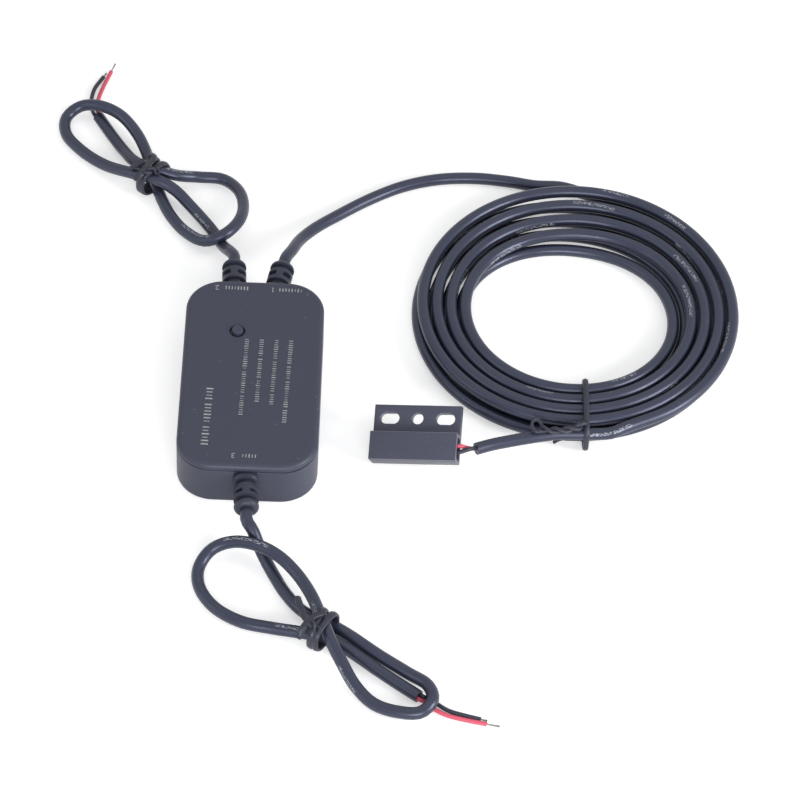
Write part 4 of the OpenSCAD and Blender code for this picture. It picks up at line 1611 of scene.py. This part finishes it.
@dataclass(frozen=True)
class Enclosure:
    """The sealed box: base shell, cover with a soft edge, and the button."""

    width: float = 45.0
    length: float = 80.0
    height: float = 17.0
    corner: float = 12.0
    wall: float = 2.0
    seam_z: float = 14.7
    cover_round: float = 1.6
    foot_round: float = 0.8
    plate: float = 2.0
    lip_gap: float = 0.1
    lip: float = 1.2
    boss: float = 5.4
    boss_top: float = 8.6
    screw_place: tuple[float, float] = (16.5, 32.0)
    post: float = 4.6
    post_top: float = 5.0
    post_place: tuple[float, float] = (14.0, 24.0)
    button_place: tuple[float, float] = (-5.3, 17.5)
    button: float = 4.94
    button_ring: float = 1.0
    button_top: float = 3.5
    button_proud: float = 0.9
    rim_round: float = 0.18
    gape: float = 0.32
    gape_start: tuple[float, float] = (2.0, -26.0)
    gape_run: tuple[float, float] = (14.0, 9.0)
    notch: float = 3.55
    screw_head: tuple[float, float] = (4.3, 1.6)
    screw_bore: float = 2.3
    cover_bore: float = 2.0
    post_bore: float = 1.7
    relief_room: tuple[float, float] = (4.2, 4.0)
    room_from_end: float = 6.0

    def skin(self, levels: Sequence[tuple[float, float]]) -> Shape:
        """Lofts the box's outline through levels of inset and height.

        Args:
            levels: Inset and height pairs, in millimetres.

        Returns:
            Vertices and faces.
        """
        rings = []
        for inset, z in levels:
            radius = max(0.4, self.corner - inset)
            rings.append(rounded_ring(self.width - 2 * inset, self.length - 2 * inset, radius, z))
        return loft(rings)

    def gaping(self, point: Vector) -> Vector:
        """Lowers the base's rim at the near right corner, where the seam gapes.

        Args:
            point: A vertex of the base shell, in metres.

        Returns:
            The vertex in its place.
        """
        x, y, z = point / MM
        if z < self.seam_z - 0.5:
            return point
        (x0, y0), (run_x, run_y) = self.gape_start, self.gape_run
        share = held((x - x0) / run_x) * held((y0 - y) / run_y)
        return Vector((x, y, z - self.gape * share)) * MM

    def base(self) -> bpy.types.Object:
        """Makes the base shell with its bosses, posts, screw holes and cable notches.

        Returns:
            The piece.
        """
        foot = [(self.foot_round * (1 - math.sin(a)), self.foot_round * (1 - math.cos(a))) for a in quarter(6)]
        levels = foot + [
            (0.0, 3.0), (0.0, 8.0), (0.0, self.seam_z - 0.32), (0.08, self.seam_z - 0.18), (0.24, self.seam_z - 0.1),
            (0.6, self.seam_z - 0.08), (self.wall, self.seam_z - 0.03), (self.wall, 8.0), (self.wall, self.wall),
        ]
        verts, faces = self.skin(levels)
        verts = [self.gaping(Vector(v)) for v in verts]
        shell = new_piece("box_base", verts, faces, Finish.SHELL.made(), MOULDED_SHARP)
        cutters, reach = [], self.wall / 2 + 0.5
        for entry in ENTRIES:
            middle = entry.side * (self.length / 2 - self.wall / 2)
            place = at_mm(entry.x, middle, entry.height) @ Matrix.Rotation(math.pi / 2, 4, "X")
            cutters.append(revolve([(self.notch, -reach), (self.notch, reach)], place, 64))
            cutters.append(block(entry.x, middle, (self.notch, reach), entry.height, self.seam_z + 1))
        head, depth = self.screw_head
        for x, y in self.corners(self.screw_place):
            cutters.append(rod(x, y, -0.5, depth, head, 48))
            cutters.append(rod(x, y, -0.5, 3.0, self.screw_bore, 40))
        cut_away(shell, cutters)
        parts, low = [], self.wall - 0.05
        for x, y in self.corners(self.screw_place):
            parts.append(self.sleeve(x, y, self.boss, self.screw_bore, low, self.boss_top))
        for x, y in self.corners(self.post_place):
            parts.append(self.sleeve(x, y, self.post, self.post_bore, low, self.post_top))
        return settle(self.with_parts(shell, parts), ["base_shell"])

    def cover(self) -> bpy.types.Object:
        """Makes the cover with its locating lip and the button's bore.

        Returns:
            The piece.
        """
        inner = self.wall + self.lip_gap
        low = self.seam_z - self.lip
        top = self.height - self.cover_round
        levels = [
            (inner + self.lip, self.height - self.plate), (inner + self.lip, low), (inner + 0.2, low),
            (inner, low + 0.2), (inner, self.seam_z + 0.05), (0.6, self.seam_z + 0.1), (0.24, self.seam_z + 0.12),
            (0.08, self.seam_z + 0.2), (0.0, self.seam_z + 0.34),
        ]
        levels += [(self.cover_round * (1 - math.cos(a)), top + self.cover_round * math.sin(a)) for a in quarter(12)]
        cover = new_piece("box_cover", *self.skin(levels), Finish.SHELL.made(), MOULDED_SHARP)
        bore = self.button / 2 + 0.08
        rim = self.rim_round
        mouth = [(bore, 13.0)] + [
            (bore + rim * (1 - math.cos(a)), self.height - rim + (rim + 0.002) * math.sin(a)) for a in quarter(8)
        ]
        mouth.append((bore + rim, self.height + 0.5))
        cutters = [revolve(mouth, at_mm(*self.button_place), 96)]
        for entry in ENTRIES:
            middle = entry.side * (self.length / 2 - self.room_from_end)
            cutters.append(block(entry.x, middle, self.relief_room, low - 0.5, self.seam_z - 0.02))
        cut_away(cover, cutters)
        parts = [
            self.sleeve(x, y, self.boss, self.cover_bore, self.boss_top + 0.1, self.height - self.plate + 0.05)
            for x, y in self.corners(self.screw_place)
        ]
        return settle(self.with_parts(cover, parts), ["top_cover"])

    def corners(self, place: tuple[float, float]) -> list[tuple[float, float]]:
        """Returns a place mirrored to all four corners."""
        return [(sx * place[0], sy * place[1]) for sx in (-1, 1) for sy in (-1, 1)]

    def sleeve(self, x: float, y: float, outer: float, bore: float, low: float, high: float) -> Shape:
        """Makes an upright tube that a screw goes into.

        Args:
            x: Its place along X, in millimetres.
            y: Its place along Y.
            outer: Its outer diameter.
            bore: Its inner diameter.
            low: Height of its foot.
            high: Height of its top.

        Returns:
            Vertices and faces.
        """
        wide, narrow = outer / 2, bore / 2
        section = ((wide, low), (wide, high - 0.2), (wide - 0.2, high), (narrow, high), (narrow, low))
        return revolve(section, at_mm(x, y), 40, hollow=True)

    def with_parts(self, obj: bpy.types.Object, parts: Sequence[Shape]) -> bpy.types.Object:
        """Adds more closed shapes to a piece's mesh.

        Args:
            obj: The piece.
            parts: Vertices and faces of each shape.

        Returns:
            The same piece.
        """
        extra = new_piece("extra", *joined(parts), obj.data.materials[0])
        with editing(obj.data) as bm:
            bm.from_mesh(extra.data)
        bpy.data.objects.remove(extra)
        obj.data.shade_smooth()
        obj.data.set_sharp_from_angle(angle=math.radians(24))
        for face in obj.data.polygons:
            if face.area > 20 * MM * MM:
                face.use_smooth = False
        return obj

    def press_button(self) -> bpy.types.Object:
        """Makes the pairing button, which rides on its own body.

        Returns:
            The piece.
        """
        r, tip = self.button / 2, self.button_top / 2
        shoulder, top = self.height - self.button_ring, self.height + self.button_proud
        profile = [
            (1.3, 11.6), (1.5, 11.75), (1.5, 13.7), (3.4, 13.7), (3.6, 13.85), (3.6, 14.5), (3.45, 14.7), (r, 14.7),
            (r, shoulder - 0.12), (r - 0.12, shoulder), (tip + 0.15, shoulder), (tip, shoulder + 0.15),
            (tip + 0.04, top - 0.25), (tip + 0.03, top - 0.12), (tip - 0.02, top - 0.05), (tip - 0.09, top - 0.01),
            (tip - 0.18, top), (tip * 0.5, top - 0.02), (tip * 0.2, top - 0.03), (0.05, top - 0.03),
        ]
        shape = revolve(profile, at_mm(*self.button_place), 72)
        cap = new_piece("pairing_button", *shape, Finish.BUTTON.made(), MOULDED_SHARP)
        return settle(cap, ["button_cap"], Body.BUTTON)

    def build(self) -> None:
        """Makes the box and its button."""
        self.base()
        self.cover()
        self.press_button()


@dataclass(frozen=True)
class PrintRow:
    """One printed row: where it starts, its direction and its groups of bars."""

    start: tuple[float, float]
    turn: float
    groups: Sequence[int]
    pitch: float = 0.95
    height: float = 1.45


@dataclass(frozen=True)
class CoverPrint:
    """Generic print on the cover: rows of bars, and a plain number at each entry."""

    face_z: float = 17.0
    ink: float = 0.02
    rows: Sequence[PrintRow] = (
        PrintRow((12.3, 14.4), -91.6, (11, 6, 12, 6)),
        PrintRow((7.6, 14.4), -91.4, (9, 14, 5)),
        PrintRow((2.8, 14.4), -91.2, (8, 9, 10)),
        PrintRow((-2.0, 14.4), -91.2, (14, 10, 9)),
        PrintRow((-12.9, -7.0), -91.4, (4, 6, 6), 1.4, 2.4),
        PrintRow((15.2, 36.1), 179.0, (8,), 1.0, 1.6),
        PrintRow((-2.4, 36.3), 179.0, (8,), 1.0, 1.6),
        PrintRow((3.4, -35.3), 179.0, (5,), 1.0, 1.6),
    )
    numbers: Sequence[tuple[str, float, float]] = (("1", 5.4, 36.2), ("2", -12.8, 36.4), ("3", -4.2, -35.2))
    number_size: float = 3.0
    margin: float = 0.5
    gap: float = 0.8
    first_seed: int = 11

    def bars(self) -> bpy.types.Object:
        """Makes all the rows as one printed piece.

        Returns:
            The piece.
        """
        tree = bar_row_tree()
        parts = []
        for number, row in enumerate(self.rows):
            turn = Matrix.Rotation(math.radians(row.turn), 4, "Z")
            place = at_mm(*row.start, self.face_z + self.ink) @ turn
            run = self.margin
            for group, count in enumerate(row.groups):
                sizes = {
                    "Count": count,
                    "Pitch": row.pitch * MM,
                    "Height": row.height * MM,
                    "Seed": self.first_seed + 7 * number + group,
                    "Material": Finish.INK.made(),
                }
                shift = place @ at_mm(run * row.pitch, 0)
                spots, faces = shape_of(tree.mesh(sizes))
                parts.append(([shift @ v for v in spots], faces))
                run += count + self.gap
        return settle(self.face_up(new_piece("cover_bars", *joined(parts), Finish.INK.made())))

    def face_up(self, piece: bpy.types.Object) -> bpy.types.Object:
        """Turns every face of a flat print upwards.

        Args:
            piece: The printed piece.

        Returns:
            The same piece.
        """
        with editing(piece.data) as bm:
            bmesh.ops.reverse_faces(bm, faces=[f for f in bm.faces if f.normal.z < 0])
        return piece

    def numerals(self) -> list[bpy.types.Object]:
        """Makes the plain number of each cable entry.

        Returns:
            The pieces.
        """
        made = []
        for word, x, y in self.numbers:
            curve = bpy.data.curves.new("number", "FONT")
            curve.body, curve.size = word, self.number_size * MM
            curve.align_x, curve.align_y = "CENTER", "CENTER"
            text = shown(bpy.data.objects.new("number", curve))
            bpy.context.view_layer.update()
            mesh = bpy.data.meshes.new_from_object(text.evaluated_get(bpy.context.evaluated_depsgraph_get()))
            bpy.data.objects.remove(text)
            mesh.transform(at_mm(x, y, self.face_z + self.ink) @ Matrix.Rotation(math.pi, 4, "Z"))
            piece = piece_of_mesh(f"entry_number_{word}", mesh, Finish.INK.made())
            made.append(settle(self.face_up(piece)))
        return made

    def build(self) -> None:
        """Makes the print."""
        self.bars()
        self.numerals()


# The sensor


@dataclass(frozen=True)
class ReedSensor:
    """Flanged reed sensor: housing with a hole and two slots, and its resin."""

    place: Point = (53.8, -24.2, 2.7)
    tilt: Point = (28.2, -10.8, -8.4)
    length: float = 28.6
    depth: float = 19.0
    height: float = 6.35
    body_depth: float = 9.3
    flange: float = 2.2
    wall: float = 1.0
    hole: float = 3.7
    slot_place: float = 9.15
    slot_length: float = 6.2
    hole_from_edge: float = 4.4
    pocket: float = 1.2
    edge: float = 0.45
    wire: float = 1.4

    def frame(self) -> Matrix:
        """Returns the matrix from the sensor's own millimetres to the part's."""
        rx, ry, rz = (math.radians(a) for a in self.tilt)
        turn = Matrix.Rotation(rz, 4, "Z") @ Matrix.Rotation(ry, 4, "Y") @ Matrix.Rotation(rx, 4, "X")
        return Matrix.Translation(Vector(self.place)) @ turn

    def placed(self, points: Sequence[Point]) -> Ring:
        """Puts points of the sensor in the part's frame, in metres."""
        seat = self.frame()
        return [(seat @ Vector(p)) * MM for p in points]

    def slot(self, middle: float, run: float) -> Shape:
        """Makes the cutter of a round-ended slot.

        Args:
            middle: Its place along the sensor.
            run: Distance between the centres of its ends.

        Returns:
            Vertices and faces.
        """
        y, r = self.depth - self.hole_from_edge, self.hole / 2
        outline = []
        for k in range(49):
            a = math.pi * k / 24 - math.pi / 2
            shift = run / 2 if k <= 24 else -run / 2
            outline.append((middle + shift + r * math.cos(a), y + r * math.sin(a)))
        if run == 0:
            outline = outline[:-1]
        return loft([self.placed([(px, py, z) for px, py in outline]) for z in (-1.0, self.flange + 1.0)])

    def housing(self) -> bpy.types.Object:
        """Makes the housing, with a lighter finish on its rounded edges as a painted highlight.

        Returns:
            The piece.
        """
        section = ((0, 0), (self.depth, 0), (self.depth, self.flange), (self.body_depth, self.flange))
        section += ((self.body_depth, self.height), (0, self.height))
        half = self.length / 2
        case = loft([self.placed([(x, y, z) for y, z in section]) for x in (-half, half)])
        piece = new_piece("sensor_case", *case, Finish.SENSOR.made())
        run = self.slot_length - self.hole
        cutters = [self.slot(0.0, 0.0), self.slot(-self.slot_place, run), self.slot(self.slot_place, run)]
        w = self.wall
        mouth = ((w, w), (self.body_depth - w, w), (self.body_depth - w, self.height - w), (w, self.height - w))
        cutters.append(loft([self.placed([(x, y, z) for y, z in mouth]) for x in (-half + w, half + 1)]))
        cut_away(piece, cutters)
        soften(piece, self.edge * MM, 3)
        # The rounded edge faces take the lighter second finish: a painted highlight along the edges.
        piece.data.materials.append(Finish.SENSOR_EDGE_HIGHLIGHT.made())
        axes = list(self.frame().to_3x3().transposed())
        for face in piece.data.polygons:
            lean = sorted(abs(face.normal.dot(axis)) for axis in axes)
            if lean[0] < 0.06 and 0.2 < lean[1] and face.area < 20 * MM * MM:
                face.material_index = 1
        return settle(piece, ["sensor_housing"])

    def resin(self) -> bpy.types.Object:
        """Makes the resin, sunk in the mouth with a raised edge.

        Returns:
            The piece.
        """
        w, end = self.wall + 0.02, self.length / 2 - self.pocket
        rings = []
        steps = ((-self.length / 2 + w, 0.1), (end, 0.0), (end - 0.25, 0.25), (end - 0.42, 0.7), (end - 0.5, 1.5))
        for x, inset in steps:
            low_y, high_y = w + inset, self.body_depth - w - inset
            low_z, high_z = w + inset * 0.85, self.height - w - inset * 0.85
            ring = []
            for cy, cz, first in (
                (high_y - 0.3, high_z - 0.3, 0), (low_y + 0.3, high_z - 0.3, 90),
                (low_y + 0.3, low_z + 0.3, 180), (high_y - 0.3, low_z + 0.3, 270),
            ):
                for k in range(9):
                    a = math.radians(first + 90 * k / 8)
                    ring.append((x, cy + 0.3 * math.cos(a), cz + 0.3 * math.sin(a)))
            rings.append(self.placed(ring))
        piece = new_piece("sensor_resin", *loft(rings), Finish.RESIN.made(), 60)
        return settle(piece, ["sensor_potting"])

    def wires(self, jacket: Sequence[Vector]) -> list[bpy.types.Object]:
        """Makes the two wires between the jacket and the resin.

        Args:
            jacket: Route of the sensor's cord, in millimetres.

        Returns:
            The pieces.
        """
        ahead, side = heading(jacket[-2], jacket[-1])
        seat = self.frame()
        out = (seat.to_3x3() @ Vector((1, 0, 0))).normalized()
        made = []
        for hand, word, finish, shift, bow in (
            (1, "red", Finish.RED_WIRE, -0.4 * UP - 0.7 * side, Vector((0.0, 0.2, -0.4))),
            (-1, "black", Finish.BLACK_WIRE, 0.72 * UP + 0.1 * side, Vector((0.3, -0.3, 0.9))),
        ):
            start = jacket[-1] + shift
            mouth = seat @ Vector((self.length / 2 - self.pocket, self.body_depth / 2 + hand * 1.0, self.height / 2))
            middle = (start + 1.2 * ahead + mouth + 2.6 * out) / 2 + bow
            route = [start, start + 0.7 * ahead, middle, mouth + 1.6 * out, mouth - 0.4 * out]
            path = smooth_route(metres(route), 0.0005)
            wire = swept_tube(f"sensor_{word}_core", path, self.wire / 2 * MM, 16, finish.made())
            made.append(settle(wire, [f"sensor_{word}_wire"]))
        return made

    def build(self, jacket: Sequence[Vector]) -> list[bpy.types.Object]:
        """Makes the sensor and its wires.

        Args:
            jacket: Route of the sensor's cord, in millimetres.

        Returns:
            The pieces at the cord's far end.
        """
        return [self.housing(), self.resin(), *self.wires(jacket)]


# The inside


@dataclass(frozen=True)
class Inside:
    """Finishes of the CAD nodes that keep their shape."""

    finishes: Sequence[tuple[str, Finish]] = (
        ("circuit_board", Finish.BOARD), ("wifi_board", Finish.MODULE), ("wifi_shield", Finish.SHIELD),
        ("relay", Finish.RELAY), ("inductor", Finish.FERRITE), ("capacitor", Finish.CAN),
        ("terminal_pads", Finish.SOLDER), ("switch_body", Finish.SWITCH), ("switch_plunger", Finish.PLUNGER),
        ("housing_screws", Finish.SCREW), ("board_screws", Finish.SCREW), ("reed_capsule", Finish.CAPSULE),
        ("reed_leads", Finish.TINNED), ("dc_inner_wires", Finish.INNER_WIRE), ("gnd_inner_wires", Finish.INNER_WIRE),
        ("sensor_inner_wires", Finish.INNER_WIRE),
    )

    def build(self) -> None:
        """Gives each kept node its finish."""
        for node, finish in self.finishes:
            for slot in frame["nodes"][node].material_slots:
                slot.material = finish.made()
            LOG.info("dressed %s", node)


TIES = (
    TwistTie(
        "dc", (26.0, -94.3), -28.0, 12.2, 10.8,
        knot=((20.8, -97.4, 10.2), (22.2, -96.8, 11.6), (23.9, -97.8, 11.6), (25.4, -99.6, 10.2)),
        tails=(
            ((23.4, -98.2, 11.5), (20.9, -95.0, 11.7), (19.6, -91.2, 11.0), (18.2, -86.0, 10.6)),
            ((18.8, -100.2, 8.2), (20.4, -98.0, 10.7), (23.0, -95.0, 11.8), (26.0, -92.6, 11.5)),
        ),
        wraps=((-1.3, 8.0), (1.3, -3.0)),
    ),
    TwistTie(
        "gnd", (-38.2, 97.0), -36.0, 12.2, 10.8,
        knot=((-40.6, 92.0, 10.4), (-38.8, 93.0, 11.7), (-37.2, 93.8, 11.7), (-35.2, 93.4, 10.6)),
        tails=(
            (
                (-43.2, 90.0, 10.0), (-40.4, 93.8, 11.5), (-37.9, 97.6, 12.2), (-37.6, 100.6, 11.7),
                (-39.2, 102.0, 10.5),
            ),
            ((-45.2, 96.4, 9.4), (-42.8, 97.6, 10.6), (-40.8, 98.6, 10.8)),
        ),
        wraps=((-1.3, 10.0), (1.4, -8.0)),
    ),
    TwistTie(
        "coil", (108.1, -2.9), 0.8, 23.4, 11.0,
        knot=(
            (107.6, -11.2, 11.2), (105.6, -13.6, 11.6), (101.6, -14.8, 11.4), (97.0, -14.8, 10.9),
            (93.0, -13.8, 10.4),
        ),
        tails=(), wraps=((0.0, 0.0),), width=2.0, thick=1.7, squareness=4.5, pitch=8.0,
        ends=(
            (
                (94.0, -15.0, 10.6), (92.0, -15.5, 10.8), (90.7, -14.0, 11.2), (90.8, -11.8, 11.4),
                (92.2, -10.7, 11.2), (93.4, -11.8, 10.8), (94.2, -13.6, 10.4),
            ),
            ((107.8, -9.6, 0.7), (103.0, -9.2, 0.7), (100.0, -9.9, 0.8), (98.0, -11.6, 1.1)),
        ),
    ),
)


def main() -> None:
    """Builds the studio, the cords and then each sub-assembly in order."""
    logging.basicConfig(level=logging.INFO, format="%(name)s: %(message)s")
    Studio().build()
    ties = {tie.stem: tie.build() for tie in TIES}
    for stem, entry, route, wires in (
        ("dc", DC_ENTRY, DC_ROUTE, (DC_RED_ROUTE, DC_BLACK_ROUTE)),
        ("gnd", GND_ENTRY, GND_ROUTE, (GND_RED_ROUTE, GND_BLACK_ROUTE)),
    ):
        cord = Cord(stem, entry, route, [f"{stem}_cord"], "loose", "bare")
        cord.build([*CoreWires(stem, *wires).build(cord.path_points()), ties[stem]])
    route = CoilRule().between(LEAD_ROUTE, TAIL_ROUTE, Cord.diameter)
    sensor = Cord(
        "sensor", SENSOR_ENTRY, route, ["sensor_lead", "sensor_coil", "sensor_tail"], "coiled", "object", sides=18
    )
    on_it = ReedSensor().build(sensor.path_points())
    nodes = frame["nodes"]
    sensor.build([*on_it, ties["coil"], nodes["reed_capsule"], nodes["reed_leads"]])
    for stem, entry in zip(("dc", "gnd", "sensor"), ENTRIES):
        ReliefBoot(stem, entry).build()
    Enclosure().build()
    CoverPrint().build()
    Inside().build()


if __name__ == "__main__":
    main()
